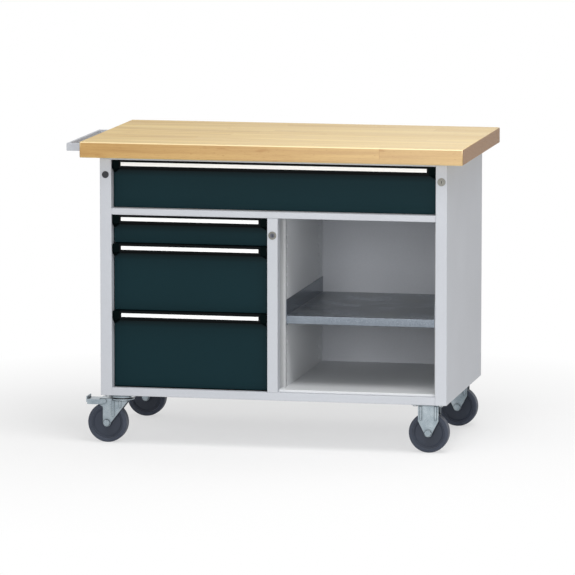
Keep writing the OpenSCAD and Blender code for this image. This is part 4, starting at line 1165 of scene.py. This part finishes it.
# %% Floor
FLOOR_HALF = 30


def seen_directly(tree):
    """1 for what the camera, a mirror or a pane sees, 0 for the light that falls on things."""
    seen = add(tree, "ShaderNodeLightPath").outputs
    other = sums(tree, "MAXIMUM", seen["Is Glossy Ray"], seen["Is Transmission Ray"])
    return sums(tree, "MAXIMUM", seen["Is Camera Ray"], other)


floor_mesh = bpy.data.meshes.new("floor")
floor_corners = [(x * FLOOR_HALF, y * FLOOR_HALF, 0) for x, y in ((-1, -1), (1, -1), (1, 1), (-1, 1))]
floor_mesh.from_pydata(floor_corners, [], [(0, 1, 2, 3)])
FLOOR = bpy.data.objects.new("floor", floor_mesh)
bpy.context.collection.objects.link(FLOOR)
floor_finish, tree, sockets = finish("pale_floor", Specular_IOR_Level=0.1, Roughness=0.9)
where = here(tree)
speckle = noise(tree, where, 40.0, 3.0)
pale_grey = mix_colour(tree, speckle, (0.93, 0.93, 0.93), (0.95, 0.95, 0.95))
tree.links.new(pale_grey, sockets["Base Color"])
away = add(tree, "ShaderNodeVectorMath", {0: where}, operation="LENGTH").outputs["Value"]
far_off = sums(tree, "MULTIPLY", remap(tree, away, 0.7, 1.9, 0.55, 1.0), seen_directly(tree))
white = add(tree, "ShaderNodeEmission", {"Color": (1, 1, 1, 1), "Strength": 1.0}).outputs[0]
lit = tree.nodes["Principled BSDF"].outputs[0]
both = add(tree, "ShaderNodeMixShader", {0: far_off, 1: lit, 2: white}).outputs[0]
tree.links.new(both, tree.nodes["Material Output"].inputs["Surface"])
floor_mesh.materials.append(floor_finish)
print("floor, m:", 2 * FLOOR_HALF)

# %% [markdown]
# The world is white. Its strength is lower for the light that falls on the bench than for
# what the camera, a mirror or a pane sees, so the background stays white and the colours
# stay as written.

# %% World
WORLD_FALLING, WORLD_SEEN = 0.48, 1.0
world = bpy.data.worlds.new("studio")
world.use_nodes = True
bpy.context.scene.world = world
sky = world.node_tree
strength = remap(sky, seen_directly(sky), 0.0, 1.0, WORLD_FALLING, WORLD_SEEN)
sky.links.new(strength, sky.nodes["Background"].inputs["Strength"])
sky.nodes["Background"].inputs["Color"].default_value = (1, 1, 1, 1)
print("world strength, falling and seen:", WORLD_FALLING, WORLD_SEEN)

# %% [markdown]
# Three broad lamps give soft shadows. The key stands low at the front right. The front lamp
# shines nearly straight into the open compartment and reaches its back. The one overhead
# lifts the worktop, and since the panel above the compartment cuts its light off, the
# compartment's floor fades from bright at the front to dark at the back.

# %% Lamps
def soft_lamp(name, place, aim, size, watts):
    """A square lamp at a place, turned towards another."""
    light = bpy.data.lights.new(name, "AREA")
    light.shape = "SQUARE"
    light.size = size
    light.energy = watts
    lamp = bpy.data.objects.new(name, light)
    lamp.location = place
    lamp.rotation_euler = (Vector(aim) - Vector(place)).to_track_quat("-Z", "Y").to_euler()
    bpy.context.collection.objects.link(lamp)
    print("lamp:", name, watts, "W")


soft_lamp("key", (2.4, -5.4, 1.2), (0, 0, 0.5), 2.2, 43)
soft_lamp("front", (-0.2, -5.8, 1.6), (0.2, 0, 0.4), 2.0, 74)
soft_lamp("overhead", (1.0, -1.3, 3.3), (0.3, 0, 0.95), 1.8, 59)

# %% [markdown]
# A product picture of a long cabinet is taken from far away with a long lens, so upright
# edges stay parallel. The camera stands 15.9 m off, a little to the right and above, and
# the view transform is the plain one, so that white paper stays white.

# %% Camera
VIEW_TURN, VIEW_RISE, VIEW_FAR = math.radians(11.6), math.radians(7.6), 15.9
AIM = Vector((BENCH_X - 0.016, 0.0, 0.466))
level = math.cos(VIEW_RISE)
back = Vector((math.sin(VIEW_TURN) * level, -math.cos(VIEW_TURN) * level, math.sin(VIEW_RISE)))
lens = bpy.data.cameras.new("camera")
lens.lens = 317
lens.sensor_width = 36
lens.clip_end = 100
CAMERA = bpy.data.objects.new("camera", lens)
CAMERA.location = AIM + back * VIEW_FAR
CAMERA.rotation_euler = back.to_track_quat("Z", "Y").to_euler()
bpy.context.collection.objects.link(CAMERA)
bpy.context.scene.camera = CAMERA
bpy.context.scene.view_settings.view_transform = "Standard"
print("camera at:", [round(c, 2) for c in CAMERA.location])
